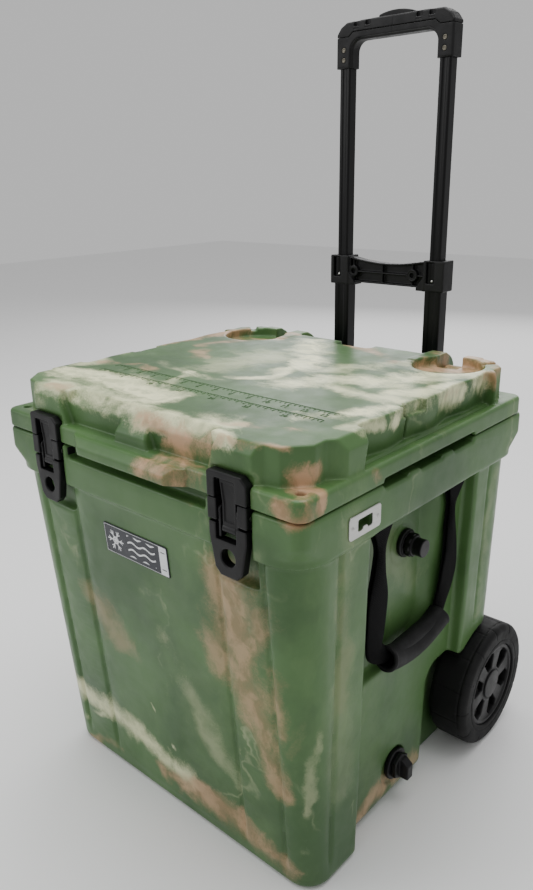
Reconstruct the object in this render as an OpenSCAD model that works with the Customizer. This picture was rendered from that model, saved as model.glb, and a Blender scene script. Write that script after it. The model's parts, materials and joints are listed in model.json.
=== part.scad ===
// Wheeled cool box: a hollow foam-filled tub and lid, two cam latches, two wheels on an axle,
// two webbing carry handles and a three-stage pull handle.
// +X is right, +Y is the back, +Z is up. The origin is on the ground, under the middle of the rim.

/* [Tub] */
// Width over the rim
rim_w = 460; // [450:1:480]
// Depth over the rim, front to back
rim_d = 438; // [430:1:450]
// Height of the top of the rim
rim_z = 465.5; // [460:0.5:470]
// Height of the rim band
rim_h = 49.5; // [44:0.5:54]
// Thickness of the plastic skins
skin = 5; // [4:0.5:6]
// Depth of the sunk panel in each side
panel_sink = 17; // [14:1:19]

/* [Lid] */
// Height of the top of the lid
lid_top = 527; // [522:1:530]
// Height of the flange round the lid
flange_top = 488.5; // [485:0.5:491]
// Radius of the two cup recesses
cup_r = 43; // [38:1:45]
// Depth of the two cup recesses
cup_depth = 12; // [8:1:14]

/* [Wheels] */
// Radius of the tyre
wheel_r = 85; // [80:1:86]
// Width of the tyre
wheel_w = 54; // [48:1:54]
// Distance from the middle to the outer face of a wheel
wheel_face = 239.5; // [238:0.5:242]
// Distance of the axle behind the middle of the rim
axle_y = 185; // [183:1:188]
// Radius of the axle
axle_r = 6; // [5:0.5:8]

/* [Latches] */
// Distance of each latch from the middle
latch_x = 145; // [143:1:147]
// Radius of the finger hole
finger_r = 9; // [7:0.5:10]

/* [Pull handle] */
// Distance from the middle to the centre of each post
post_x = 75.3; // [74:0.1:77]
// Distance of the posts behind the middle of the rim
post_y = 260; // [254:0.5:262]
// Height of the top of the grip when pulled out
grip_top = 936; // [930:1:940]

/* [Carry handles] */
// Width of the webbing
web_w = 36; // [25:1:38]
// Radius of the rubber grip
carry_r = 15; // [12:0.5:15]

/* [Hidden] */

// Colours
shell_green = [0.33, 0.45, 0.29];
lid_green = [0.58, 0.68, 0.52];
black = [0.11, 0.11, 0.12];
rubber = [0.14, 0.14, 0.15];
steel = [0.7, 0.7, 0.7];
foam = [0.9, 0.85, 0.6];

round_fn = 48;
hull_fn = 32;
eps = 0.01;
cut = 60;

// Outline of the outer walls: half width, front and back at the ground and under the rim
half_top = 223.5;
half_base = 214;
front_top = -214;
front_base = -182;
back_top = 214;
back_base = 206;
wall_top = rim_z - rim_h;
wall_lean_front = atan((front_base - front_top) / wall_top);
wall_lean_side = atan((half_top - half_base) / wall_top);

// Inside of the tub
room_top_half = 163;
room_base_half = 156;
room_front = -168;
room_back = 164;
room_z = 40;

// Side panels and what is in them
panel_front = -100;
panel_back = 118;
gap_half = 90;
gap_in = 212;
pocket_front = -88;
pocket_back = 80;
pocket_z = 208;
pocket_x = 186;
side_mid = 7;
vent_y = 17;
vent_z = 350;
drain_y = 4;
drain_z = 52;
fitting_r = 12;

// Wheel arches
arch_in = 178;
arch_front = 68;
arch_z = 158;
arch_gap = 6;

// Latches, measured from the middle of each latch
pocket_half = 27.5;
latch_pocket_y = -201;
latch_pocket_z = 377;
latch_face = -223.5;
latch_back = -213.5;
cheek_in = 13.5;
latch_half = 25;
pivot_y = -216.5;
pivot_z = 457;
pivot_r = 2.5;
link_y = -217.5;
link_z = 439.5;
link_r = 2;
finger_z = 411.5;
lever_foot = 391;
run_gap = 0.06;

// Lid
lid_base = 467.5;
lid_side = 226;
lid_front = 217;
flat_half = 218.5;
flat_front = 208.6;
plug_half = 159.5;
plug_front = -163;
plug_back = 160;
plug_z = 457;
hinge_y = 204;
hinge_z = 501;
hinge_r = 26;
rod_r = 4;
cup_x = 150;
cup_y = 158;
padlock_x = 213;
padlock_y = 199;
padlock_r = 5;

// Wheels
wheel_in = wheel_face - wheel_w;
hub_r = 58;
boss_r = 14;

// Pull handle: outer tubes, middle tubes and top tubes, one inside the next
outer_w = 30;
outer_d = 25;
middle_w = 24.6;
middle_d = 20;
top_w = 16.5;
top_d = 16.5;
outer_top = 428;
outer_foot = 112;
middle_foot = 290;
block_z = 596;
block_h = 40.5;
top_foot = 556;
leg_z = 880;
bar_z = 913;
split_z = 923;
grip_half = 87;
grip_d = 24;
button_half = 25;
button_z = 927;

// Carry handles, hung from the rim
carry_x = 211;
anchor_x = 213;
anchor_z = 408;
anchor_off = 76;
grip_end_off = 63;
grip_end_z = 240;
grip_sag = 12;
web_t = 4;

module mirrored() {
    children();
    mirror([1, 0, 0]) children();
}

// Flat plate with round corners, kept as true arcs
module plate(half_x, front, back, z0, z1, r) {
    depth = back - front;
    translate([-half_x, front, z0]) union() {
        translate([r, 0, 0]) cube([2 * half_x - 2 * r, depth, z1 - z0]);
        translate([0, r, 0]) cube([2 * half_x, depth - 2 * r, z1 - z0]);
        for (x = [r, 2 * half_x - r], y = [r, depth - r])
            translate([x, y, 0]) cylinder(r = r, h = z1 - z0, $fn = round_fn);
    }
}

// Thin rounded plate, used only as a step of a hull
module ring_step(half_x, front, back, z, r) {
    for (x = [-half_x + r, half_x - r], y = [front + r, back - r])
        translate([x, y, z]) cylinder(r = r, h = eps, $fn = hull_fn);
}

// Leaning outer walls, drawn in by inset
module wall_form(inset) {
    hull() {
        ring_step(half_base - 8 - inset, front_base + 8 + inset, back_base - 8 - inset, inset, 26);
        ring_step(half_base - inset, front_base + inset, back_base - inset, 8 + inset, 34);
        ring_step(half_top - inset, front_top + inset, back_top - inset, wall_top, 40);
    }
}

module rim_band() {
    plate(rim_w / 2, -rim_d / 2, rim_d / 2, 447, rim_z, 15);
    hull() {
        ring_step(rim_w / 2, -rim_d / 2, rim_d / 2, 447, 15);
        ring_step(rim_w / 2, -rim_d / 2, rim_d / 2, wall_top, 42);
    }
}

module room(grow) {
    hull() {
        ring_step(room_base_half + grow, room_front + 26 - grow, room_back - 4 + grow,
            room_z - grow, 26 + grow);
        ring_step(room_top_half + grow, room_front - grow, room_back + grow, rim_z + 1, 30 + grow);
    }
}

// Distance of the side panel from the middle at height z
function panel_face(z) = half_base - panel_sink + z * tan(wall_lean_side);

// Everything that is cut into the outer walls; grow thickens each cut
module wall_cuts(grow) {
    mirrored() {
        // Sunk side panel, parallel to the leaning wall
        translate([panel_face(-cut) - grow, panel_front - grow, -cut])
            rotate([0, wall_lean_side, 0])
                cube([cut, panel_back - panel_front + 2 * grow, wall_top + cut + grow]);
        // Deeper pocket behind the carry handle
        pocket_cut(grow);
        wheel_arch(grow);
        // Pocket behind each latch
        translate([latch_x - pocket_half - grow, -rim_d, latch_pocket_z - grow])
            cube([2 * (pocket_half + grow), rim_d + latch_pocket_y + grow, cut * 2]);
    }
    // Finger gap under the lip of the lid
    translate([-112 - grow, -rim_d, 450 - grow])
        cube([224 + 2 * grow, rim_d - 204 + grow, cut]);
    // Shallow gaps in the rim for lifting the lid from either side
    mirrored() for (y = [-gap_half, -23, 44])
        translate([gap_in - grow, y - grow, 461 - grow]) cube([cut, 46 + 2 * grow, cut]);
    // Axle hole
    translate([-rim_w / 2, axle_y, wheel_r]) rotate([0, 90, 0])
        cylinder(r = axle_r + grow, h = rim_w, $fn = round_fn);
}

module pocket_cut(grow) {
    corner = 24;
    translate([pocket_x - grow, 0, 0]) rotate([90, 0, 90]) linear_extrude(cut) union() {
        translate([pocket_front - grow, pocket_z + corner])
            square([pocket_back - pocket_front + 2 * grow, wall_top - pocket_z - corner + grow]);
        translate([pocket_front + corner, pocket_z - grow])
            square([pocket_back - pocket_front - 2 * corner, corner + grow + 1]);
        for (y = [pocket_front + corner, pocket_back - corner])
            translate([y, pocket_z + corner]) circle(r = corner + grow, $fn = round_fn);
    }
}

module wheel_arch(grow) {
    corner = 25;
    translate([arch_in - grow, 0, 0]) rotate([90, 0, 90]) linear_extrude(cut * 2) union() {
        translate([arch_front - grow, -cut]) square([rim_d, arch_z - corner + cut]);
        translate([arch_front + corner, 0]) square([rim_d, arch_z + grow]);
        translate([arch_front + corner, arch_z - corner])
            circle(r = corner + grow, $fn = round_fn);
        translate([axle_y, wheel_r])
            circle(r = wheel_r + arch_gap + grow, $fn = 2 * round_fn);
    }
}

// Shallow upright grooves that stiffen the walls
module grooves() {
    groove_r = 4;
    for (x = [-177, -116, 116, 177])
        translate([x, front_base - 1, 30]) rotate([wall_lean_front, 0, 0])
            cylinder(r = groove_r, h = wall_top - 30, $fn = 24);
    mirrored() for (y = [-152, 153])
        translate([half_base + 1, y, y < 0 ? 30 : 190]) rotate([0, wall_lean_side, 0])
            cylinder(r = groove_r, h = wall_top - (y < 0 ? 30 : 190), $fn = 24);
}

module fitting_holes(r) {
    translate([room_base_half - 10, vent_y, vent_z]) rotate([0, 90, 0])
        cylinder(r = r, h = cut, $fn = round_fn);
    translate([room_base_half - 10, drain_y, drain_z]) rotate([0, 90, 0])
        cylinder(r = r, h = cut, $fn = round_fn);
}

module tub_shell() {
    color(shell_green) union() {
        difference() {
            union() {
                wall_form(0);
                rim_band();
            }
            room(skin);
            wall_cuts(0);
            grooves();
            foam_space();
            fitting_holes(fitting_r);
            // A looser hole than the lid's, so that the shackle finds it
            mirrored() padlock_hole(padlock_r + 1, rim_z - 20, rim_z + 1);
            mirrored() lock_slot();
        }
        hinge_posts();
        strap_lugs();
    }
}

// Inner skin, which stands in the opening of the rim
module tub_liner() {
    color(shell_green) difference() {
        intersection() {
            room(skin);
            translate([-rim_w / 2, -rim_d / 2, 0]) cube([rim_w, rim_d, rim_z]);
        }
        room(0);
        fitting_holes(fitting_r);
    }
}

// Space inside the outer skin
module foam_space() {
    difference() {
        union() {
            intersection() {
                wall_form(skin);
                translate([-rim_w / 2, -rim_d / 2, skin]) cube([rim_w, rim_d, wall_top - skin - 12]);
            }
            plate(207, -190, 200, wall_top - 13, rim_z - 12, 30);
        }
        wall_cuts(skin);
        fitting_holes(fitting_r + 4);
        // The wall is solid plastic where the lower edge rounds off
        translate([-rim_w / 2, -rim_d / 2, 0]) cube([rim_w, rim_d, 14]);
    }
}

module tub_foam() {
    color(foam) difference() {
        foam_space();
        room(skin);
    }
}

module padlock_hole(r, z0, z1) {
    translate([padlock_x, -padlock_y, z0]) cylinder(r = r, h = z1 - z0, $fn = round_fn);
}

module lock_slot() {
    translate([rim_w / 2 - 12, -137, 433]) cube([cut, 24, 12]);
}

// Lugs under the rim that hold the pins of the carry straps
module strap_lugs() {
    mirrored() for (end = [-1, 1], side = [-1, 1])
        translate([anchor_x, side_mid + end * anchor_off + side * (web_w / 2 + 2.5), anchor_z])
            rotate([90, 0, 0]) difference() {
                translate([-6, -6, -2]) cube([12, wall_top - anchor_z + 6.5, 4]);
                translate([0, 0, -3]) cylinder(r = 3, h = 6, $fn = round_fn);
            }
}

// Upright posts of the tub that carry the hinge rods between the lid's shoulders
module hinge_posts() {
    mirrored() difference() {
        union() {
            translate([127.5, 192, rim_z - 1]) cube([25, 24, hinge_z - rim_z + 1]);
            translate([127.5, hinge_y, hinge_z]) rotate([0, 90, 0])
                cylinder(r = 12, h = 25, $fn = round_fn);
        }
        translate([120, hinge_y, hinge_z]) rotate([0, 90, 0])
            cylinder(r = rod_r, h = 40, $fn = round_fn);
    }
}

module hinge_rods() {
    color(steel) mirrored() translate([104, hinge_y, hinge_z]) rotate([0, 90, 0])
        cylinder(r = rod_r, h = 72, $fn = round_fn);
}

module latch_brackets() {
    color(black) mirrored() translate([latch_x, 0, 0]) for (side = [-1, 1])
        difference() {
            union() {
                translate([side > 0 ? cheek_in : -latch_half, latch_face, 447])
                    cube([latch_half - cheek_in, latch_pocket_y - latch_face, 19.5]);
                translate([side > 0 ? cheek_in : -pocket_half + 0.5, latch_pocket_y - 4, 430])
                    cube([pocket_half - cheek_in - 0.5, 4, 33]);
            }
            translate([side > 0 ? cheek_in - 1 : -latch_half - 1, pivot_y, pivot_z])
                rotate([0, 90, 0]) cylinder(r = pivot_r, h = 16, $fn = round_fn);
        }
}

module latch_pivot_pins() {
    color(steel) mirrored() translate([latch_x, pivot_y, pivot_z])
        for (start = [-latch_half, 9.9])
            translate([start, 0, 0]) rotate([0, 90, 0])
                cylinder(r = pivot_r, h = latch_half - 9.9, $fn = round_fn);
}

// Lever with a finger hole, two ears on the pivot pins and a window for the hook
module latch_lever() {
    window_half = 9.8;
    foot_half = 17.5;
    thick = latch_back - latch_face;
    color(black) difference() {
        union() {
            translate([0, latch_back, 0]) rotate([90, 0, 0]) linear_extrude(thick)
                polygon([[-24, 444.5], [-24, 432], [-foot_half, lever_foot + 6],
                    [-foot_half + 6, lever_foot], [foot_half - 6, lever_foot],
                    [foot_half, lever_foot + 6], [24, 432], [24, 444.5]]);
            for (x = [-12.9, window_half]) {
                translate([x, latch_back - 8, 440]) cube([3.1, 8, 17]);
                translate([x, pivot_y, pivot_z]) rotate([0, 90, 0])
                    cylinder(r = 5.5, h = 3.1, $fn = round_fn);
            }
        }
        translate([-window_half, latch_face - 1, 428]) cube([2 * window_half, 20, 30]);
        translate([-cut / 2, pivot_y, pivot_z]) rotate([0, 90, 0])
            cylinder(r = pivot_r + run_gap, h = cut, $fn = round_fn);
        translate([-14, link_y, link_z]) rotate([0, 90, 0])
            cylinder(r = link_r, h = 28, $fn = round_fn);
        translate([0, latch_back + 1, finger_z]) rotate([90, 0, 0])
            cylinder(r = finger_r, h = 20, $fn = round_fn);
    }
}

module link_pin() {
    color(steel) translate([-14, link_y, link_z]) rotate([0, 90, 0])
        cylinder(r = link_r, h = 28, $fn = round_fn);
}

// Hook frame that pulls the lid down, hung on the link pin
module latch_hook() {
    chamfer = 7;
    color(black) difference() {
        union() {
            translate([0, latch_back, 0]) rotate([90, 0, 0])
                linear_extrude(latch_back - latch_face)
                    polygon([[-latch_half, 469.5], [-latch_half, 496.5], [latch_half - chamfer, 496.5],
                        [latch_half, 496.5 - chamfer], [latch_half, 469.5]]);
            translate([-9.2, link_y - 3, link_z]) cube([18.4, 6, 32]);
            translate([-9.2, link_y, link_z]) rotate([0, 90, 0])
                cylinder(r = 4.4, h = 18.4, $fn = round_fn);
        }
        translate([-12.5, latch_face - 1, 469]) cube([25, 7, 21]);
        translate([-10, link_y, link_z]) rotate([0, 90, 0])
            cylinder(r = link_r + run_gap, h = 20, $fn = round_fn);
    }
}

module latch_lever_left() { translate([-latch_x, 0, 0]) latch_lever(); }
module latch_lever_right() { translate([latch_x, 0, 0]) latch_lever(); }
module latch_hook_left() { translate([-latch_x, 0, 0]) latch_hook(); }
module latch_hook_right() { translate([latch_x, 0, 0]) latch_hook(); }
module link_pin_left() { translate([-latch_x, 0, 0]) link_pin(); }
module link_pin_right() { translate([latch_x, 0, 0]) link_pin(); }

module badge_plate() {
    color(black) translate([-62, front_base, 0]) rotate([wall_lean_front, 0, 0])
        translate([0, -1.5, 348]) cube([106, 1.5, 37]);
}

module lock_plates() {
    color(steel) mirrored() difference() {
        translate([rim_w / 2, -151, 427]) cube([1.5, 52, 24]);
        translate([rim_w / 2 - 1, -137, 433]) cube([4, 24, 12]);
        for (y = [-145.5, -104.5])
            translate([rim_w / 2 - 1, y, 439]) rotate([0, 90, 0])
                cylinder(r = 1.6, h = 4, $fn = 24);
    }
}

module lock_plate_screws() {
    color(steel) mirrored() for (y = [-145.5, -104.5])
        translate([rim_w / 2, y, 439]) rotate([0, 90, 0]) union() {
            cylinder(r = 1.6, h = 1.5, $fn = 24);
            translate([0, 0, 1.5]) cylinder(r = 2.6, h = 0.8, $fn = 24);
        }
}

// Threaded body through the wall, with a flange on the outside
module through_body(x_face, y, z) {
    translate([x_face, y, z]) rotate([0, 90, 0]) difference() {
        union() {
            cylinder(r = 17.5, h = 5, $fn = round_fn);
            translate([0, 0, room_base_half - 5 - x_face])
                cylinder(r = fitting_r, h = x_face - room_base_half + 5, $fn = round_fn);
        }
        translate([0, 0, room_base_half - 10 - x_face]) cylinder(r = 7, h = cut, $fn = round_fn);
    }
}

module vent_body() { color(black) through_body(pocket_x, vent_y, vent_z); }

module vent_cap() {
    color(black) translate([pocket_x + 5.3, vent_y, vent_z]) rotate([0, 90, 0]) union() {
        cylinder(r = 14, h = 6, $fn = round_fn);
        cylinder(r = 10.5, h = 24, $fn = round_fn);
        for (turn = [0 : 45 : 315]) rotate(turn) translate([12, -2, 0]) cube([4, 4, 6]);
        translate([0, 0, -30]) cylinder(r = 6.9, h = 30, $fn = round_fn);
    }
}

drain_face = panel_face(drain_z) + 0.5;

module drain_body() { color(black) through_body(drain_face, drain_y, drain_z); }

module drain_plug() {
    color(black) translate([drain_face + 5.3, drain_y, drain_z]) rotate([0, 90, 0]) union() {
        cylinder(r = 14.5, h = 7, $fn = round_fn);
        translate([-12, -5, 0]) cube([24, 10, 18]);
        translate([0, 0, -36]) cylinder(r = 6.9, h = 36, $fn = round_fn);
    }
}

module strap_anchors() {
    color(black) mirrored() for (y = [side_mid - anchor_off, side_mid + anchor_off])
        translate([anchor_x, y - web_w / 2 - 4, anchor_z]) rotate([-90, 0, 0])
            cylinder(r = 3, h = web_w + 8, $fn = round_fn);
}

module axle() {
    color(steel) translate([-wheel_face + 6.7, axle_y, wheel_r]) rotate([0, 90, 0])
        cylinder(r = axle_r, h = 2 * wheel_face - 13.4, $fn = round_fn);
}

module axle_nuts() {
    color(steel) mirrored() translate([wheel_face - 6.7, axle_y, wheel_r]) rotate([0, 90, 0])
        cylinder(r = 9, h = 2.5, $fn = round_fn);
}

// Tyre with a round shoulder on both edges
module tyre() {
    round_r = 9;
    color(rubber) translate([wheel_in, axle_y, wheel_r]) rotate([0, 90, 0])
        rotate_extrude($fn = 96) union() {
            translate([hub_r, 0]) square([wheel_r - hub_r - round_r, wheel_w]);
            translate([hub_r, round_r]) square([wheel_r - hub_r, wheel_w - 2 * round_r]);
            for (z = [round_r, wheel_w - round_r])
                translate([wheel_r - round_r, z]) circle(r = round_r, $fn = 32);
        }
}

// Hub with six windows, an outer ring and a boss that runs on the axle
module hub() {
    spoke_face = wheel_w - 5;
    color(black) translate([wheel_in, axle_y, wheel_r]) rotate([0, 90, 0]) difference() {
        union() {
            difference() {
                translate([0, 0, 2]) cylinder(r = hub_r, h = wheel_w - 5, $fn = 96);
                translate([0, 0, -1]) cylinder(r = hub_r - 5, h = spoke_face - 7, $fn = 96);
            }
            cylinder(r = boss_r, h = spoke_face, $fn = round_fn);
        }
        for (turn = [0 : 60 : 300]) rotate(turn + 13)
            translate([0, 0, spoke_face - 9]) linear_extrude(20)
                polygon([[25, -4], [44, -10], [51, -5], [51, 5], [44, 10], [25, 4]]);
        translate([0, 0, -1]) cylinder(r = axle_r + run_gap, h = cut * 2, $fn = round_fn);
        translate([0, 0, wheel_w - 7]) cylinder(r = 9.5, h = 10, $fn = round_fn);
    }
}

module hub_cap() {
    color(black) translate([wheel_face - 3, axle_y, wheel_r]) rotate([0, 90, 0])
        rotate_extrude($fn = 96)
            polygon([[0, 0], [20, 0], [20, 1], [17, 2], [10, 2.7], [0, 3]]);
}

module tyre_right() { tyre(); }
module tyre_left() { mirror([1, 0, 0]) tyre(); }
module hub_right() { hub(); }
module hub_left() { mirror([1, 0, 0]) hub(); }
module hub_cap_right() { hub_cap(); }
module hub_cap_left() { mirror([1, 0, 0]) hub_cap(); }

// Upright tube, hollow, centred on one post
module post_tube(w, d, wall, z0, z1) {
    translate([post_x, post_y, 0]) difference() {
        translate([-w / 2, -d / 2, z0]) cube([w, d, z1 - z0]);
        translate([-w / 2 + wall, -d / 2 + wall, z0 - 1])
            cube([w - 2 * wall, d - 2 * wall, z1 - z0 + 2]);
    }
}

module rail_tubes() {
    color(black) mirrored() post_tube(outer_w, outer_d, 2, outer_foot, outer_top - 4);
}

module rail_bracket(z0, z1) {
    back = post_y + outer_d / 2 + 3;
    difference() {
        translate([-post_x - 26, back_base - 2, z0]) cube([2 * post_x + 52, back - back_base + 2, z1 - z0]);
        wall_form(0);
        translate([-rim_w / 2, -rim_d / 2, z0 - 1]) cube([rim_w, rim_d / 2 + back_base, z1]);
        mirrored() translate([post_x - outer_w / 2, post_y - outer_d / 2, max(z0 - 1, outer_foot)])
            cube([outer_w, outer_d, z1]);
        mirrored() translate([post_x - middle_w / 2 - 0.4, post_y - middle_d / 2 - 0.4, z0 - 1])
            cube([middle_w + 0.8, middle_d + 0.8, z1]);
        translate([-post_x + 22, back_top + 8, z0 - 1]) cube([2 * post_x - 44, cut, z1]);
    }
}

module rail_bracket_upper() { color(black) rail_bracket(372, 410); }
module rail_bracket_lower() { color(black) rail_bracket(outer_foot - 8, 150); }

module rail_screws() {
    color(steel) for (x = [-40, 0, 40], z = [130, 391])
        translate([x, back_top + 8, z]) rotate([-90, 0, 0]) cylinder(r = 4, h = 2, $fn = 24);
}

module middle_tubes() {
    color(black) mirrored() post_tube(middle_w, middle_d, 1.6, middle_foot, block_z + block_h - 2);
}

module middle_bracket() {
    block_w = 31.4;
    block_d = 27;
    web_mid = -6.2;
    boss_off = 48.5;
    color(black) difference() {
        union() {
            mirrored() translate([post_x - block_w / 2 + 1.5, post_y - block_d / 2, block_z])
                cube([block_w, block_d, block_h]);
            // Web between the blocks, dipped on top
            difference() {
                translate([-62, post_y - 9, block_z + 3.5]) cube([124, 16, block_h - 5.5]);
                translate([0, post_y - 10, block_z + block_h + 272]) rotate([-90, 0, 0])
                    cylinder(r = 280, h = 20, $fn = 96);
            }
            for (side = [-1, 1])
                translate([web_mid + side * boss_off, post_y - 9, block_z + 19]) rotate([90, 0, 0])
                    cylinder(r = 8, h = 1, $fn = round_fn);
        }
        // Ribs are left standing on the front of the web
        for (cell = [[-46, -8.2], [-4.2, 34], [51, 59]], level = [0, 1])
            translate([cell[0], post_y - 10, block_z + (level ? 20.5 : 6.5)])
                cube([cell[1] - cell[0], 8, level ? 7.5 : 11]);
        mirrored() translate([post_x - middle_w / 2, post_y - middle_d / 2, block_z - 1])
            cube([middle_w, middle_d, block_h - 1]);
        mirrored() translate([post_x - top_w / 2 - 0.4, post_y - top_d / 2 - 0.4, block_z])
            cube([top_w + 0.8, top_d + 0.8, block_h + 1]);
        for (x = [-86.5, 66]) translate([x, post_y - block_d / 2 - 1, block_z + 10.5])
            cube([12.3, 3, block_h]);
    }
}

module top_tubes() {
    color(black) mirrored() post_tube(top_w, top_d, 1.4, top_foot, leg_z + 36);
}

// Front view of the grip: two legs and a bar, below the split line
module grip_outline() {
    inner = 63.5;
    difference() {
        polygon([[-grip_half, leg_z], [-grip_half, split_z], [-grip_half + 6, grip_top - 8],
            [-72, grip_top - 1], [-40, grip_top], [40, grip_top], [72, grip_top - 1],
            [grip_half - 6, grip_top - 8], [grip_half, split_z], [grip_half, leg_z]]);
        translate([-inner, leg_z - 1]) square([2 * inner, bar_z - leg_z - 13]);
        translate([-inner + 14, leg_z]) square([2 * inner - 28, bar_z - leg_z]);
        for (x = [-inner + 14, inner - 14]) translate([x, bar_z - 14]) circle(r = 14, $fn = round_fn);
    }
}

module grip_solid() {
    translate([0, post_y + grip_d / 2, 0]) rotate([90, 0, 0]) linear_extrude(grip_d) grip_outline();
}

module button_well() {
    translate([-button_half - 0.4, post_y - 7.4, button_z - 8])
        cube([2 * button_half + 0.8, 14.8, 40]);
}

module grip_body() {
    color(black) difference() {
        intersection() {
            grip_solid();
            translate([-100, 0, leg_z - 1]) cube([200, 400, split_z - leg_z + 1]);
        }
        mirrored() translate([post_x - top_w / 2, post_y - top_d / 2, leg_z - 2])
            cube([top_w, top_d, 38]);
        button_well();
    }
}

module grip_cover() {
    color(black) difference() {
        intersection() {
            grip_solid();
            translate([-100, 0, split_z]) cube([200, 400, 40]);
        }
        button_well();
        for (side = [-1, 1], x = [38, 56])
            translate([side * x - 3.5, post_y - grip_d / 2 - 1, split_z + 7]) cube([7, 4, 20]);
    }
}

module grip_screws() {
    color(steel) for (side = [-1, 1], z = [890, 902])
        translate([side * post_x, post_y - grip_d / 2, z]) rotate([90, 0, 0])
            cylinder(r = 3, h = 0.8, $fn = 24);
}

// Crowned push button
module release_button() {
    color(black) intersection() {
        translate([-button_half, post_y - 7, button_z]) cube([2 * button_half, 14, 20]);
        translate([0, post_y - 10, grip_top + 6 - 90]) rotate([-90, 0, 0])
            cylinder(r = 90, h = 20, $fn = 192);
    }
}

module button_spring() {
    color(steel) mirrored() translate([14, post_y, button_z - 8]) difference() {
        cylinder(r = 4, h = 8, $fn = 24);
        translate([0, 0, -1]) cylinder(r = 3, h = 10, $fn = 24);
    }
}

// Radius of the arc of the carry grip, and the angle from its middle to each end
carry_arc = (grip_end_off * grip_end_off + grip_sag * grip_sag) / (2 * grip_sag);
carry_turn = asin(grip_end_off / carry_arc);

// Arc along the inside of the grip, round in section
module carry_sweep(r, spare) {
    translate([carry_x, side_mid, grip_end_z - grip_sag + carry_arc])
        rotate([0, 90, 0]) rotate([0, 0, -carry_turn - spare])
            rotate_extrude(angle = 2 * (carry_turn + spare), $fn = 360)
                translate([carry_arc, 0]) circle(r = r, $fn = 32);
}

// Two webs with a loop round each anchor pin, joined by a core inside the grip
module straps() {
    top = anchor_z - 2;
    half = web_w / 2;
    color(black) difference() {
        union() {
            for (side = [-1, 1]) {
                translate([anchor_x - web_t / 2 - 1, side_mid, 0]) rotate([90, 0, 90])
                    linear_extrude(web_t)
                        polygon([[side * (anchor_off - half), top], [side * (anchor_off + half), top],
                            [side * (anchor_off + half - 4), 270], [side * 80, 246],
                            [side * 71, 234], [side * 66, 236], [side * 65.2, 262]]);
                translate([anchor_x, side_mid + side * anchor_off - half, anchor_z])
                    rotate([-90, 0, 0]) cylinder(r = 5, h = web_w, $fn = round_fn);
            }
            carry_sweep(6, 1.2);
        }
        for (side = [-1, 1])
            translate([anchor_x, side_mid + side * anchor_off - half - 1, anchor_z])
                rotate([-90, 0, 0]) cylinder(r = 3 + run_gap, h = web_w + 2, $fn = round_fn);
    }
}

module carry_grip() {
    color(rubber) difference() {
        carry_sweep(carry_r, 0);
        carry_sweep(6, 2);
    }
}

module straps_right() { straps(); }
module straps_left() { mirror([1, 0, 0]) straps(); }
module carry_grip_right() { carry_grip(); }
module carry_grip_left() { mirror([1, 0, 0]) carry_grip(); }

// Lid without its recesses
module lid_form() {
    plate(rim_w / 2, -rim_d / 2, rim_d / 2 - 6, lid_base, flange_top, 15);
    hull() {
        ring_step(lid_side, -lid_front, lid_front - 8, flange_top - 1, 20);
        ring_step(lid_side - 1, -lid_front + 1, lid_front - 9, 514, 22);
        ring_step(flat_half, -flat_front, flat_front, lid_top - eps, 30);
    }
    // Finger lip at the front
    translate([0, 0, lid_base]) linear_extrude(18)
        polygon([[-90, -210], [-88, -222], [-68, -233], [68, -233], [88, -222], [90, -210]]);
    plate(plug_half, plug_front, plug_back, plug_z, lid_base + 1, 26);
    // Hinge shoulders
    mirrored() for (x = [103, 154.5]) translate([x, hinge_y, hinge_z]) {
        rotate([0, 90, 0]) cylinder(r = hinge_r, h = 22.5, $fn = round_fn);
        translate([0, -30, -20]) cube([22.5, 30, 46 - eps]);
    }
}

module lid_cuts() {
    mirrored() {
        // Corner pockets, front and back
        for (end = [-1, 1]) translate([0, 0, flange_top]) linear_extrude(cut)
            polygon([[172, end * 250], [172, end * 206], [195, end * 197], [214, end * 168],
                [223, end * 146], [260, end * 146], [260, end * 250]]);
        // Long recess along each side
        translate([211, -118, flange_top]) cube([cut, 276, cut]);
        // Recesses beside the middle of the front
        translate([28, -250, flange_top]) cube([84, 250 - 203, cut]);
        // Bed of each latch
        translate([latch_x - 26.5, -250, lid_base - 1]) cube([53, 250 + latch_back + 2.5, 34]);
        // Cup recesses with a drain slot towards the corner
        translate([cup_x, cup_y, lid_top - cup_depth]) cylinder(r = cup_r, h = 20, $fn = 96);
        translate([cup_x, cup_y, lid_top - 3]) rotate(38) translate([0, -5, 0]) cube([90, 10, 10]);
        padlock_hole(padlock_r, lid_base - 1, flange_top + 1);
        // Room for the tub's hinge posts
        translate([126, 180, lid_base - 1]) cube([28, 60, cut * 2]);
        // Holes for the hinge rods
        translate([100, hinge_y, hinge_z]) rotate([0, 90, 0])
            cylinder(r = rod_r + run_gap, h = cut * 1.5, $fn = round_fn);
        // Gaps for lifting the lid from either side
        for (y = [-gap_half, -23, 44])
            translate([gap_in, y, lid_base - 1]) cube([cut, 46, 4]);
    }
    // Room for the pull handle
    translate([-102.8, 190, lid_base - 1]) cube([205.6, 60, cut * 2]);
    translate([-28, 172, 500]) cube([56, 60, cut]);
    // Groove for the gasket
    gasket_ring(lid_base - 1, lid_base + 2.5);
}

module gasket_ring(z0, z1) {
    difference() {
        plate(room_top_half + 14, room_front - 14, room_back + 10, z0, z1, 34);
        plate(room_top_half + 4, room_front - 4, room_back + 3, z0 - 1, z1 + 1, 28);
    }
}

module lid_foam_core() {
    translate([-150, -150, 463]) cube([300, 256, 50]);
    translate([-98, 100, 463]) cube([196, 50, 50]);
}

module lid_shell() {
    color(lid_green) difference() {
        lid_form();
        lid_cuts();
        lid_foam_core();
    }
}

module lid_foam() { color(foam) lid_foam_core(); }

module lid_gasket() { color(black) gasket_ring(rim_z + 0.4, lid_base + 2.5); }

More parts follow.
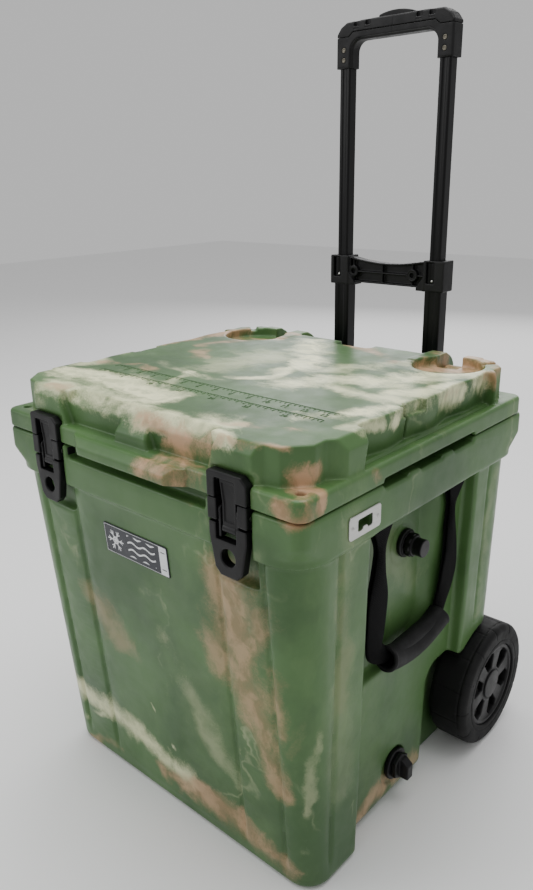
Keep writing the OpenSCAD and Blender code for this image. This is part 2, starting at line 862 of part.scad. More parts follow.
tub_shell();
tub_liner();
tub_foam();
latch_brackets();
latch_pivot_pins();
badge_plate();
lock_plates();
lock_plate_screws();
vent_body();
vent_cap();
drain_body();
drain_plug();
strap_anchors();
axle();
axle_nuts();
rail_tubes();
rail_bracket_upper();
rail_bracket_lower();
rail_screws();
hinge_rods();
lid_shell();
lid_foam();
lid_gasket();
latch_lever_left();
latch_lever_right();
latch_hook_left();
latch_hook_right();
link_pin_left();
link_pin_right();
tyre_left();
tyre_right();
hub_left();
hub_right();
hub_cap_left();
hub_cap_right();
straps_left();
straps_right();
carry_grip_left();
carry_grip_right();
middle_tubes();
middle_bracket();
top_tubes();
grip_body();
grip_cover();
grip_screws();
release_button();
button_spring();
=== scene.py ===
"""Looks of the wheeled cool box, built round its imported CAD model.

Moulded pieces are written as distance fields in millimetres, one function per piece, and turned
into meshes by solid(). Every piece is in the CAD model's frame: +X right, +Y back, +Z up.
"""

import functools
import json
import math

import bmesh
import bpy
import numpy as np
from mathutils import Matrix, Vector

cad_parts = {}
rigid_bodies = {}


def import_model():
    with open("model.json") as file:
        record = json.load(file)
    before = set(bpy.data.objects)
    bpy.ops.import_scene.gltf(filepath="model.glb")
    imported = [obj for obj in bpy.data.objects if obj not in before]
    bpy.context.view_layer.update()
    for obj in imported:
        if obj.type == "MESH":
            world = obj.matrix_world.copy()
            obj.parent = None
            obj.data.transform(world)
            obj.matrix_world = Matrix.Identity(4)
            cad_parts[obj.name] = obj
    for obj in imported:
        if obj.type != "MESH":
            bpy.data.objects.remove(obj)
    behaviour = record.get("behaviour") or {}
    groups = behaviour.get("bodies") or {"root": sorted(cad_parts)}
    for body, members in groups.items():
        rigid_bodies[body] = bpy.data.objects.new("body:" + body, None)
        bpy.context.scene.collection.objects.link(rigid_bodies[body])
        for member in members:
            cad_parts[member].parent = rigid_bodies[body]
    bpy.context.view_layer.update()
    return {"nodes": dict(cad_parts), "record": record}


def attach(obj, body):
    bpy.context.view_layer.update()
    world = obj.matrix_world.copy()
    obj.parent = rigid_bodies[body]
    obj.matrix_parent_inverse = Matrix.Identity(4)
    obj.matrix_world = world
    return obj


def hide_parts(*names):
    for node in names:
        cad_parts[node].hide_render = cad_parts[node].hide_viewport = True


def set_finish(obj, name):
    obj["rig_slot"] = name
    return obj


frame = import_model()

MM = 0.001

# Main dimensions of the cool box, in millimetres, as in the CAD model
RIM_HALF, RIM_FRONT, RIM_TOP = 230.0, 219.0, 465.5
WALL_TOP = 416.0
BASE_HALF, BASE_FRONT, BASE_BACK = 214.0, 182.0, 206.0
LEAN_SIDE, LEAN_FRONT, LEAN_BACK = 9.5 / WALL_TOP, 32.0 / WALL_TOP, 8.0 / WALL_TOP
LID_BASE, FLANGE_TOP, LID_TOP = 467.5, 488.5, 527.0
LATCH_X, LATCH_FACE, LATCH_BACK = 145.0, -223.5, -213.5
PIVOT = (-216.5, 457.0)
LINK = (-217.5, 439.5)
WHEEL = (185.0, 85.0)
HINGE = (204.0, 501.0)


# ---------------------------------------------------------------- distance fields

def both(a, b, r=0.0):
    """Where two shapes overlap, with the edge between them rounded to r."""
    if np.ndim(r) == 0 and r <= 0:
        return np.maximum(a, b)
    u = np.maximum(a + r, 0)
    v = np.maximum(b + r, 0)
    return np.minimum(np.maximum(a, b), -r) + np.sqrt(u * u + v * v)


def either(a, b, r=0.0):
    """Two shapes joined, with a fillet of r between them."""
    return -both(-a, -b, r)


def less(a, b, r=0.0):
    """Shape a without shape b, with the new edge rounded to r."""
    return both(a, -b, r)


def span(v, low, high):
    """Distance outside the stretch from low to high."""
    return np.maximum(low - v, v - high)


def slope(u, v, point, rise, run):
    """Distance outside a line through point that climbs by rise along v for each run along u."""
    size = math.hypot(rise, run)
    return ((u - point[0]) * rise + (v - point[1]) * run) / size


def disc(u, v, centre, r):
    """Distance outside a circle."""
    return np.hypot(u - centre[0], v - centre[1]) - r


def outline(u, v, points):
    """Signed distance to a closed outline in the plane."""
    best = np.full(np.broadcast(u, v).shape, 1e9, np.float32)
    inside = np.zeros(best.shape, bool)
    for (ax, ay), (bx, by) in zip(points, points[1:] + points[:1]):
        ex, ey = bx - ax, by - ay
        t = np.clip(((u - ax) * ex + (v - ay) * ey) / (ex * ex + ey * ey), 0, 1)
        best = np.minimum(best, (u - ax - t * ex) ** 2 + (v - ay - t * ey) ** 2)
        if ay != by:
            crossing = (ay > v) != (by > v)
            inside ^= crossing & (u < ex * (v - ay) / ey + ax)
    return np.where(inside, -1, 1) * np.sqrt(best)


def nearest_of(shapes):
    """Several shapes joined with no fillets."""
    return functools.reduce(np.minimum, shapes)


def one_sixth(turn):
    """Angle folded into the sixth of a turn about 0."""
    return (turn + math.pi / 6) % (math.pi / 3) - math.pi / 6


# ---------------------------------------------------------------- meshes

def surface(field, low, high, step):
    """Points and quads of the zero surface of field over a box, by surface nets."""
    axes = [np.arange(a - 1.5 * step, b + 2.5 * step, step, dtype=np.float32)
            for a, b in zip(low, high)]
    x, y, z = (axes[0][:, None, None], axes[1][None, :, None], axes[2][None, None, :])
    f = np.array(np.broadcast_to(field(x, y, z), [len(a) for a in axes]), np.float32)
    f[f == 0] = 1e-4
    inner = f < 0
    cells = np.zeros([n - 1 for n in f.shape], np.int8)
    corners = [(i, j, k) for i in (0, 1) for j in (0, 1) for k in (0, 1)]

    def part(a, i, j, k):
        return a[i:a.shape[0] - 1 + i, j:a.shape[1] - 1 + j, k:a.shape[2] - 1 + k]

    for c in corners:
        cells += part(inner, *c)
    active = (cells > 0) & (cells < 8)
    where = np.argwhere(active)
    number = np.full(active.shape, -1, np.int64)
    number[active] = np.arange(len(where))
    at = tuple(where.T)
    total = np.zeros((len(where), 3))
    count = np.zeros(len(where))
    for axis in range(3):
        for c in corners:
            if c[axis]:
                continue
            d = list(c)
            d[axis] = 1
            fa = part(f, *c)[at]
            fb = part(f, *d)[at]
            cut = (fa < 0) != (fb < 0)
            t = np.where(cut, fa / np.where(cut, fa - fb, 1), 0)
            place = np.tile(np.array(c, float), (len(where), 1))
            place[:, axis] = t
            total += place * cut[:, None]
            count += cut
    points = (where + total / count[:, None]) * step + np.array([a[0] for a in axes])
    quads = []
    for axis in range(3):
        u, v = [(1, 2), (2, 0), (0, 1)][axis]
        first = [slice(1, -1)] * 3
        second = [slice(1, -1)] * 3
        first[axis] = slice(0, -1)
        second[axis] = slice(1, None)
        change = inner[tuple(first)].astype(np.int8) - inner[tuple(second)]
        for sign in (1, -1):
            edge = np.argwhere(change == sign)
            edge += 1
            edge[:, axis] -= 1
            ring = []
            for du, dv in [(-1, -1), (0, -1), (0, 0), (-1, 0)][::sign]:
                cell = edge.copy()
                cell[:, u] += du
                cell[:, v] += dv
                ring.append(number[tuple(cell.T)])
            quads.append(np.stack(ring, 1))
    return settle(points, f, axes, step), np.concatenate(quads)


def sample(f, at):
    """f read between its grid points, at places in grid steps."""
    base = np.clip(np.floor(at).astype(int), 0, np.array(f.shape) - 2)
    t = at - base
    value = 0.0
    for i in (0, 1):
        for j in (0, 1):
            for k in (0, 1):
                weight = 1.0
                for axis, bit in enumerate((i, j, k)):
                    weight = weight * (t[:, axis] if bit else 1 - t[:, axis])
                value = value + weight * f[base[:, 0] + i, base[:, 1] + j, base[:, 2] + k]
    return value


def settle(points, f, axes, step):
    """Moves each point on to the surface along the field's slope, by at most half a step."""
    start = np.array([a[0] for a in axes])
    for _ in range(2):
        at = (points - start) / step
        grad = np.stack([sample(f, at + e) - sample(f, at - e) for e in np.eye(3) * 0.5], 1)
        grad /= step
        move = -sample(f, at)[:, None] * grad / np.maximum((grad ** 2).sum(1), 0.1)[:, None]
        points = points + np.clip(move, -0.5 * step, 0.5 * step)
    return points


def mesh_object(name, points, faces, body, smooth=True):
    """A piece from points in millimetres and faces, riding on a body."""
    mesh = bpy.data.meshes.new(name)
    if len({len(face) for face in faces}) == 1:
        faces = np.asarray(faces)
        corners = faces.shape[1]
        mesh.vertices.add(len(points))
        mesh.vertices.foreach_set("co", (np.asarray(points, np.float32) * MM).ravel())
        mesh.loops.add(faces.size)
        mesh.loops.foreach_set("vertex_index", faces.astype(np.int32).ravel())
        mesh.polygons.add(len(faces))
        mesh.polygons.foreach_set("loop_start", np.arange(0, faces.size, corners, dtype=np.int32))
        mesh.update(calc_edges=True)
    else:
        mesh.from_pydata([tuple(MM * c for c in p) for p in points], [], [list(f) for f in faces])
    mesh.validate()
    if smooth:
        mesh.polygons.foreach_set("use_smooth", [True] * len(mesh.polygons))
    obj = bpy.data.objects.new(name, mesh)
    bpy.context.scene.collection.objects.link(obj)
    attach(obj, body)
    return obj


def thin_out(obj, ratio):
    """Merges the small faces of a piece where it is flat, down to a share of them."""
    modifier = obj.modifiers.new("thin", "DECIMATE")
    modifier.ratio = ratio
    apply_modifiers(obj)


def apply_modifiers(obj):
    """Makes the modifiers of a piece part of its mesh."""
    graph = bpy.context.evaluated_depsgraph_get()
    mesh = bpy.data.meshes.new_from_object(obj.evaluated_get(graph))
    obj.modifiers.clear()
    obj.data = mesh


def solid(name, field, low, high, step, body, keep=1.0):
    """A piece whose surface is where field is zero, made on a grid of that step."""
    points, quads = surface(field, low, high, step)
    obj = mesh_object(name, points, quads, body)
    if keep < 1:
        thin_out(obj, keep)
    return obj


def moulded(name, field, low, high, step, keep, body, slot, *nodes):
    """A solid piece with its slot and the CAD nodes that it replaces."""
    piece = solid(name, field, low, high, step, body, keep)
    for node in nodes:
        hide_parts(node)
    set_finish(piece, slot)
    return piece


def twin(obj, name, body):
    """The same piece on the other side of the middle plane."""
    mesh = obj.data.copy()
    mesh.transform(Matrix.Scale(-1, 4, (1, 0, 0)))
    mesh.flip_normals()
    copy = bpy.data.objects.new(name, mesh)
    bpy.context.scene.collection.objects.link(copy)
    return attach(copy, body)


def both_sides(name, field, low, high, step, keep, body, slot, node):
    """A piece on the right and its twin on the left, with the side's name put in place of {}."""
    right = solid(name.format("right"), field, low, high, step, body.format("right"), keep)
    left = twin(right, name.format("left"), body.format("left"))
    for side, piece in (("right", right), ("left", left)):
        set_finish(piece, slot)
        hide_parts(node.format(side))


# ---------------------------------------------------------------- materials

def srgb(red, green, blue):
    """Colour from its 0 to 255 values on a screen."""
    levels = [c / 255 for c in (red, green, blue)]
    return tuple(c / 12.92 if c < 0.04 else ((c + 0.055) / 1.055) ** 2.4 for c in levels) + (1,)


class Nodes:
    """Makes and links the nodes of one tree."""

    def __init__(self, tree):
        self.tree = tree

    def node(self, kind, values=(), **settings):
        """A node with its settings, and its first inputs linked or set to values."""
        made = self.tree.nodes.new(kind)
        for key, value in settings.items():
            setattr(made, key, value)
        for socket, value in zip(made.inputs, values):
            self.feed(socket, value)
        return made

    def feed(self, socket, value):
        if isinstance(value, bpy.types.NodeSocket):
            self.tree.links.new(value, socket)
        elif value is not None:
            socket.default_value = value

    def math(self, operation, *values, clamp=False):
        return self.node("ShaderNodeMath", values, operation=operation, use_clamp=clamp).outputs[0]

    def vector(self, operation, *values, output="Vector"):
        return self.node("ShaderNodeVectorMath", values, operation=operation).outputs[output]

    def scaled(self, value, factor):
        return self.vector("SCALE", value, None, None, factor)

    def ramp(self, value, low, high, out_low=0.0, out_high=1.0):
        """Value carried smoothly from low..high to out_low..out_high."""
        made = self.node("ShaderNodeMapRange", (value, low, high, out_low, out_high))
        made.interpolation_type = "SMOOTHSTEP"
        return made.outputs[0]


class Paint(Nodes):
    """One material and the shader nodes that it is made of."""

    def __init__(self, name, roughness, metallic=0.0):
        self.material = bpy.data.materials.new(name)
        self.material.use_nodes = True
        super().__init__(self.material.node_tree)
        self.shader = self.tree.nodes["Principled BSDF"]
        self.shader.inputs["Roughness"].default_value = roughness
        self.shader.inputs["Metallic"].default_value = metallic
        self.place = self.node("ShaderNodeTexCoord").outputs["Object"]

    def noise(self, scale, detail=3.0, place=None, output="Fac", roughness=0.55):
        made = self.node("ShaderNodeTexNoise")
        for name, value in (("Vector", place or self.place), ("Scale", scale), ("Detail", detail),
                            ("Roughness", roughness)):
            self.feed(made.inputs[name], value)
        return made.outputs[output]

    def stretched(self, factors):
        return self.vector("MULTIPLY", self.place, factors)

    def mix(self, factor, first, second):
        made = self.node("ShaderNodeMix", data_type="RGBA")
        for socket, value in ((0, factor), (6, first), (7, second)):
            self.feed(made.inputs[socket], value)
        return made.outputs[2]

    def colour(self, value):
        self.feed(self.shader.inputs["Base Color"], value)

    def rough(self, value):
        self.feed(self.shader.inputs["Roughness"], value)

    def dull(self, level):
        """Sets how strongly the surface mirrors its surroundings; 0.5 is usual, and less is duller."""
        self.shader.inputs["Specular IOR Level"].default_value = level

    def bump(self, height, strength, distance):
        made = self.node("ShaderNodeBump")
        made.inputs["Strength"].default_value = strength
        made.inputs["Distance"].default_value = distance
        self.feed(made.inputs["Height"], height)
        self.tree.links.new(made.outputs["Normal"], self.shader.inputs["Normal"])


# Where a band's cover starts and where it is full, and the trace of it in the place
BAND_EDGE = (1.45, 0.15)
TRACE = 1e-7


def band_group():
    """Node group: widens Cover by a band with a ragged edge, from Start along a straight line.

    Line is the band's length and direction, and Share the same divided by its squared length. The
    place is handed on with a trace of the cover in it, so that the bands are worked out in turn.
    """
    tree = bpy.data.node_groups.new("band", "ShaderNodeTree")
    for name, kind in (("Place", "Vector"), ("Cover", "Float"), ("Start", "Vector"),
                       ("Line", "Vector"), ("Share", "Vector"), ("Narrow", "Float"),
                       ("Strength", "Float"), ("Ragged", "Float")):
        tree.interface.new_socket(name, in_out="INPUT", socket_type="NodeSocket" + kind)
    for name, kind in (("Place", "Vector"), ("Cover", "Float")):
        tree.interface.new_socket(name, in_out="OUTPUT", socket_type="NodeSocket" + kind)
    source = tree.nodes.new("NodeGroupInput").outputs
    target = tree.nodes.new("NodeGroupOutput").inputs

    nodes = Nodes(tree)
    away = nodes.vector("SUBTRACT", source["Place"], source["Start"])
    share = nodes.vector("DOT_PRODUCT", away, source["Share"], output="Value")
    share = nodes.math("ADD", share, 0.0, clamp=True)
    nearest = nodes.scaled(source["Line"], share)
    gap = nodes.vector("DISTANCE", away, nearest, output="Value")
    depth = nodes.math("MULTIPLY_ADD", gap, source["Narrow"], source["Ragged"])
    cover = nodes.math("MULTIPLY", nodes.ramp(depth, *BAND_EDGE), source["Strength"])
    cover = nodes.math("MAXIMUM", cover, source["Cover"])
    trace = nodes.scaled((TRACE,) * 3, cover)
    nodes.feed(target["Place"], nodes.vector("ADD", source["Place"], trace))
    nodes.feed(target["Cover"], cover)
    return tree


# Bands of colour in the moulded plastic, given one by one: strength, radius and points along each
# band. A point with no height is on top of the lid.
TAN_BANDS = [
    (0.9, 16, [(-220, 30), (-215, 110), (-190, 170), (-110, 190)]),
    (0.7, 12, [(-110, 10), (-155, 70), (-150, 130), (-110, 150)]),
    (0.6, 8, [(-190, -90), (-150, -80), (-105, -85)]),
    (0.6, 8, [(-150, -205), (-120, -200)]),
    (0.9, 10, [(0, -200), (50, -210, 520), (100, -215, 515), (135, -210)]),
    (1.0, 19, [(55, -205, 505), (95, -205, 503)]),
    (1.0, 18, [(35, -230, 484), (90, -228, 480), (72, -230, 470)]),
    (0.7, 12, [(0, 170), (45, 160), (100, 115)]),
    (1.0, 24, [(130, 155, 512), (170, 190, 512)]),
    (0.9, 16, [(120, 195), (175, 205), (210, 185), (220, 140, 520)]),
    (0.7, 7, [(215, 140, 512), (222, 85, 520), (222, 50, 515)]),
    (0.6, 7, [(100, -170), (150, -160)]),
    (0.8, 7, [(145, -205), (170, -212, 520), (195, -205, 520)]),
    (1.0, 10, [(178, -150, 505), (205, -195, 488), (213, -215, 465)]),
    (0.9, 8, [(190, -222, 473), (212, -214, 470)]),
    (0.9, 7, [(188, -160, 505), (215, -190, 488), (225, -200, 470)]),
    (0.8, 7, [(228, -118, 490), (230, -108, 470)]),
    (0.55, 22, [(104, -212, 370), (110, -208, 320), (100, -205, 270)]),
    (0.65, 36, [(128, -212, 365), (135, -208, 300), (150, -202, 240)]),
    (0.6, 20, [(150, -202, 240), (172, -198, 195), (185, -196, 150)]),
    (0.5, 11, [(165, -212, 340), (185, -206, 280), (195, -202, 190)]),
    (0.3, 12, [(228, -195, 300), (225, -195, 250), (208, -200, 200)]),
    (0.75, 17, [(-20, -185, 35), (80, -186, 45), (140, -184, 35), (190, -182, 18)]),
    (0.5, 8, [(-175, -182, 12), (-115, -185, 22)]),
    (0.3, 24, [(-115, -203, 270), (-75, -200, 225)]),
    (0.7, 17, [(206, -75, 22), (203, -15, 38), (204, 60, 15)]),
    (0.1, 12, [(222, -150, 380), (220, -135, 240)]),
    (0.5, 22, [(-205, -90, 120), (-210, 20, 210), (-205, 90, 330)]),
    (0.6, 20, [(-120, 215, 130), (40, 212, 200), (150, 212, 330)]),
]
CREAM_BANDS = [
    (0.8, 20, [(-150, -200), (-80, -190), (-30, -175)]),
    (1.0, 26, [(-185, -150), (-110, -142), (-45, -138), (-10, -150)]),
    (0.6, 18, [(-205, -105), (-225, -50), (-225, 10)]),
    (0.9, 15, [(-25, -185), (25, -200), (70, -190), (110, -172)]),
    (1.0, 13, [(60, -210), (120, -200), (150, -208)]),
    (0.9, 10, [(-65, -60), (-10, -55), (25, -25), (15, 40)]),
    (1.0, 20, [(15, 40), (-25, 110), (-50, 160)]),
    (0.4, 34, [(-60, -10), (-50, 60)]),
    (0.4, 12, [(-115, -50), (-55, -60)]),
    (0.9, 22, [(60, -45), (85, 0), (125, 20), (165, 30)]),
    (0.6, 22, [(60, 50), (100, 80)]),
    (1.0, 24, [(140, 20), (165, 75), (185, 130)]),
    (0.9, 14, [(190, 0), (208, 40, 522), (215, 85, 520)]),
    (0.8, 14, [(100, -16), (150, -30), (200, -20, 524)]),
    (1.0, 13, [(150, -118), (190, -95), (212, -50, 522)]),
    (0.7, 9, [(210, -125, 524), (220, -80, 522)]),
    (0.5, 14, [(120, 120), (150, 105)]),
    (0.5, 10, [(-45, -120), (-50, -75)]),
    (0.7, 5, [(50, -230, 489), (95, -230, 489)]),
    (0.7, 20, [(-190, -190, 96), (-125, -190, 88), (-40, -190, 72), (35, -188, 56)]),
    (0.5, 7, [(-190, -186, 45), (-140, -187, 68), (-110, -190, 82)]),
    (0.55, 3, [(-70, -196, 195), (-45, -195, 155), (-15, -192, 122), (15, -190, 98)]),
    (0.2, 13, [(20, -200, 260), (90, -195, 150), (120, -190, 100)]),
    (0.08, 18, [(225, -150, 430), (225, -140, 300), (222, -130, 120)]),
    (0.22, 6, [(228, -180, 320), (228, -170, 200), (215, -190, 60)]),
    (0.1, 24, [(205, -40, 380), (205, 40, 300)]),
    (0.1, 8, [(218, 180, 400), (216, 175, 280), (212, 160, 200)]),
    (0.6, 14, [(-215, -120, 300), (-205, 0, 120), (-210, 80, 60)]),
    (0.6, 16, [(150, 212, 90), (0, 212, 110), (-150, 213, 260)]),
]
GREEN = srgb(74, 107, 60)
DEEP_GREEN = srgb(53, 84, 43)
PALE_GREEN = srgb(118, 146, 92)
TAN = srgb(188, 152, 118)
UMBER = srgb(150, 120, 86)
CREAM = srgb(234, 234, 190)


def band_point(point):
    """A point of a band, on top of the lid unless it has a height."""
    return Vector((*point, LID_TOP)[:3])


def marbled(name, wild):
    """Green plastic with tan and cream bands that swirl and break up at their edges."""
    paint = Paint(name, 0.42)
    place = paint.place
    for scale, detail, reach in ((4, 2, 0.07), (13, 3, 0.05), (48, 3, 0.012)):
        bend = paint.vector("SUBTRACT", paint.noise(scale, detail, output="Color"), (0.5,) * 3)
        place = paint.vector("MULTIPLY_ADD", bend, (reach,) * 3, place)
    long = paint.vector("MULTIPLY", place, (0.5, 1.0, 0.35))
    wisps = paint.noise(20, 7, paint.vector("MULTIPLY", place, (0.8, 1.7, 0.6)), roughness=0.68)
    streaks = paint.noise(70, 5, long, roughness=0.6)
    grains = paint.noise(520, 2)
    ragged = paint.math("MULTIPLY_ADD", wisps, 3.4 * wild, -1.78 * wild - 0.7)
    ragged = paint.math("MULTIPLY_ADD", streaks, 0.8, ragged)
    ragged = paint.math("MULTIPLY_ADD", grains, 0.6, ragged)
    group = band_group()
    covers = []
    for bands in (CREAM_BANDS, TAN_BANDS):
        cover = 0.0
        for strength, radius, points in bands:
            corners = [band_point(point) for point in points]
            for start, end in zip(corners, corners[1:]):
                line = end - start
                share = line / (line.length_squared * MM)
                values = (place, cover, start * MM, line * MM, share, 1 / (radius * MM), strength,
                          ragged)
                place, cover = paint.node("ShaderNodeGroup", values, node_tree=group).outputs
        covers.append(cover)
    shade = paint.ramp(paint.noise(6, 5, place), 0.36, 0.66)
    colour = paint.mix(shade, GREEN, DEEP_GREEN)
    haze = paint.ramp(paint.noise(7, 7, long, roughness=0.66), 0.5, 0.72)
    colour = paint.mix(paint.math("MULTIPLY", haze, wild - 0.45), colour, PALE_GREEN)
    vein = paint.math("ABSOLUTE", paint.math("SUBTRACT", paint.noise(8, 4, long), 0.5))
    vein = paint.math("MULTIPLY", paint.ramp(vein, 0.012, 0.0), haze)
    colour = paint.mix(paint.math("MULTIPLY", vein, 0.3), colour, CREAM)
    threads = paint.ramp(streaks, 0.34, 0.56, 0.62, 1.0)
    colour = paint.mix(paint.math("MULTIPLY", covers[0], threads), colour, CREAM)
    earth = paint.mix(paint.ramp(streaks, 0.4, 0.62), TAN, UMBER)
    colour = paint.mix(covers[1], colour, earth)
    paint.colour(colour)
    paint.rough(paint.ramp(paint.noise(40, 4), 0.2, 0.8, 0.3, 0.46))
    paint.bump(paint.noise(900, 2), 0.12, 0.0004)
    paint.dull(0.35)
    return paint.material


def speckled(name, colour, lighter, roughness, grain=500, depth=0.0003):
    """Moulded plastic or rubber: fine grain, slight unevenness of colour and gloss."""
    paint = Paint(name, roughness)
    worn = paint.ramp(paint.noise(22, 5), 0.4, 0.75)
    paint.colour(paint.mix(worn, colour, lighter))
    paint.rough(paint.ramp(paint.noise(60, 4), 0.25, 0.75, roughness - 0.07, roughness + 0.08))
    paint.bump(paint.noise(grain, 3), 0.35, depth)
    paint.dull(0.25)
    return paint.material


def brushed(name, colour, roughness):
    """Bare metal with fine lines along it."""
    paint = Paint(name, roughness, 1.0)
    lines = paint.noise(60, 4, paint.stretched((2.0, 1.0, 30.0)))
    paint.colour(paint.mix(lines, colour, tuple(c * 0.8 for c in colour[:3]) + (1,)))
    paint.rough(paint.ramp(lines, 0.3, 0.7, roughness - 0.06, roughness + 0.1))
    paint.bump(lines, 0.1, 0.0001)
    return paint.material


def coated(name, colour):
    """Black coated tube with faint scuffs along its length."""
    paint = Paint(name, 0.36)
    scuffs = paint.ramp(paint.noise(50, 6, paint.stretched((1.0, 1.0, 0.08))), 0.52, 0.8)
    paint.colour(paint.mix(paint.math("MULTIPLY", scuffs, 0.4), colour, srgb(22, 22, 23)))
    paint.rough(paint.ramp(scuffs, 0.0, 1.0, 0.33, 0.5))
    paint.bump(paint.noise(900, 2), 0.1, 0.0001)
    paint.dull(0.2)
    return paint.material


def woven(name, colour, lighter):
    """Flat nylon webbing: ribs across the strap crossed by its threads."""
    paint = Paint(name, 0.75)
    waves = []
    for direction, scale in (("Z", 150), ("Y", 190)):
        wave = paint.node("ShaderNodeTexWave", bands_direction=direction)
        paint.feed(wave.inputs["Vector"], paint.place)
        wave.inputs["Scale"].default_value = scale
        waves.append(wave.outputs["Fac"])
    weave = paint.math("MULTIPLY", *waves)
    paint.colour(paint.mix(weave, colour, lighter))
    paint.bump(weave, 0.6, 0.0008)
    paint.dull(0.1)
    return paint.material


def insulating_foam(name):
    paint = Paint(name, 0.9)
    cells = paint.noise(220, 4)
    paint.colour(paint.mix(cells, srgb(226, 205, 140), srgb(240, 226, 176)))
    paint.bump(cells, 0.5, 0.001)
    return paint.material


def make_materials():
    """One material for each slot of the record."""
    return {
        "tub_plastic": marbled("tub_marble", 0.7),
        "lid_plastic": marbled("lid_marble", 1.0),
        "foam": insulating_foam("foam"),
        "latch_plastic": speckled("latch_black", srgb(13, 13, 14), srgb(21, 21, 22), 0.42),
        "fitting_plastic": speckled("fitting_black", srgb(14, 14, 15), srgb(23, 23, 24), 0.4),
        "handle_plastic": speckled("handle_black", srgb(13, 13, 14), srgb(20, 20, 21), 0.5),
        "hub_plastic": speckled("hub_black", srgb(18, 18, 19), srgb(28, 28, 29), 0.44),
        "badge": speckled("badge_dark", srgb(44, 46, 52), srgb(52, 54, 60), 0.3, 900, 0.0001),
        "steel": brushed("steel", srgb(205, 205, 202), 0.36),
        "handle_tube": coated("tube_black", srgb(5, 5, 6)),
        "gasket_rubber": speckled("gasket_black", srgb(16, 16, 17), srgb(26, 26, 27), 0.7),
        "grip_rubber": speckled("grip_rubber", srgb(16, 16, 17), srgb(27, 27, 28), 0.62, 700),
        "tyre": speckled("tyre_rubber", srgb(9, 9, 10), srgb(17, 17, 17), 0.66, 600, 0.0004),
        "webbing": woven("webbing", srgb(3, 3, 4), srgb(11, 11, 12)),
    }


def dress(materials):
    """Gives every CAD node and every piece without a material of its own that of its slot."""
    slots = {part["node"]: part["material_slot"] for part in frame["record"]["subparts"]}
    for name, obj in frame["nodes"].items():
        if not obj.hide_render:
            obj.data.materials.clear()
            obj.data.materials.append(materials[slots[name]])
    for obj in bpy.context.scene.objects:
        if "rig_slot" in obj and obj.type == "MESH" and not obj.data.materials:
            obj.data.materials.append(materials[obj["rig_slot"]])


# ---------------------------------------------------------------- tub

# Grooves' distances from the middle, and the ends of the side panel and the hand pocket along Y
GROOVES = (116.0, 177.5)
PANEL, PANEL_DEPTH = (-100.0, 118.0), 17
POCKET = (-92.0, 76.0)
POCKET_FLOOR, POCKET_FOOT = 190.0, 213.0
ARCH_IN, ARCH_FRONT, ARCH_TOP, ARCH_R = 178.0, 68.0, 158.0, 91.0
# Middles of the vent and the drain in Y and Z, with how far out their seats' floors are in X
VENT, VENT_FLOOR = (17.0, 350.0), 189.0
DRAIN, DRAIN_FLOOR = (4.0, 52.0), 194.0
PADLOCK = (213, -199)
TUB_STEP, LID_STEP = 2.5, 1.6


def side_height(x, z):
    """Height above the leaning side wall."""
    return (np.abs(x) - BASE_HALF - LEAN_SIDE * z) / math.hypot(1, LEAN_SIDE)


def front_height(y, z):
    """Height above the leaning front wall."""
    return (-y - BASE_FRONT - LEAN_FRONT * z) / math.hypot(1, LEAN_FRONT)


def ends_height(y, z):
    """Height above the front wall or the back wall."""
    back = (y - BASE_BACK - LEAN_BACK * z) / math.hypot(1, LEAN_BACK)
    return np.maximum(front_height(y, z), back)


def tub_block(x, y, z):
    """Leaning walls with the thick rim on top of them, all solid."""
    corner = 32 + 10 * z / WALL_TOP
    wall = both(both(side_height(x, z), ends_height(y, z), corner), -z, 9)
    wall = both(wall, z - 440)
    rim_corner = np.interp(z.ravel(), [424, 441], [42, 13]).astype(np.float32)[None, None, :]
    rim = both(np.abs(x) - RIM_HALF, np.abs(y) - RIM_FRONT, rim_corner)
    rim = both(rim, span(z, WALL_TOP, RIM_TOP), 2.5)
    return either(wall, rim, 5)


def groove(u, ramp, depth):
    """Depth of an upright V groove at u from its middle, with a shallow ramp on its negative side."""
    vee = depth - 0.85 * np.abs(u)
    shallow = np.where(u < 0, 0.45 * depth * (1 + u / ramp), -1)
    return np.maximum(vee, shallow)


def cut_grooves(body, x, y, z):
    """Upright grooves in all the walls, which fade out at the foot."""
    fade = np.clip((z - 14) / 26, 0, 1)
    for at in GROOVES:
        depth = groove(np.abs(x) - at, 13, 4.2) * fade
        body = less(body, both(-ends_height(y, z) - depth, z - WALL_TOP + 1), 1.2)
    for at, ramp, low in ((-151, 12, 0), (153, 12, 190), (183, 9, 190)):
        depth = groove((y - at) * (1 if at < 0 else -1), ramp, 3.6 if at < 180 else 2) * fade
        cut = both(-side_height(x, z) - depth, span(y, at - 16, at + 16))
        body = less(body, both(cut, span(z, low, WALL_TOP - 1)), 1.2)
    return body


def cut_side_panel(body, x, y, z):
    """Sunk side panel with a rounded foot."""
    inset = both(side_height(x, z) + PANEL_DEPTH, -z, 20)
    panel = both(-inset, span(y, *PANEL), 5)
    return less(body, both(panel, z - WALL_TOP + 0.5, 3), 4)


def cut_hand_pocket(body, x, y, z):
    """Pocket behind the carry handle, its walls leaning out towards the panel."""
    side = side_height(x, z)
    mid, half = (POCKET[0] + POCKET[1]) / 2, (POCKET[1] - POCKET[0]) / 2
    high = (WALL_TOP + 60 - POCKET_FOOT) / 2
    r = 16 + 44 * np.clip((y - mid) / 60 + 0.5, 0, 1)
    dy = np.abs(y - mid) - half + r
    dz = np.abs(z - POCKET_FOOT - high) - high + r
    shape = np.hypot(np.maximum(dy, 0), np.maximum(dz, 0)) + np.minimum(np.maximum(dy, dz), 0) - r
    spread = np.clip(y / 60, 0.25, 1) * 2.2
    wedge = (shape - spread * np.maximum(side + PANEL_DEPTH, -14)) / np.sqrt(1 + spread * spread)
    pocket = both(both(POCKET_FLOOR - np.abs(x), wedge, 4), z - WALL_TOP + 0.5, 3)
    return less(body, pocket, 3)


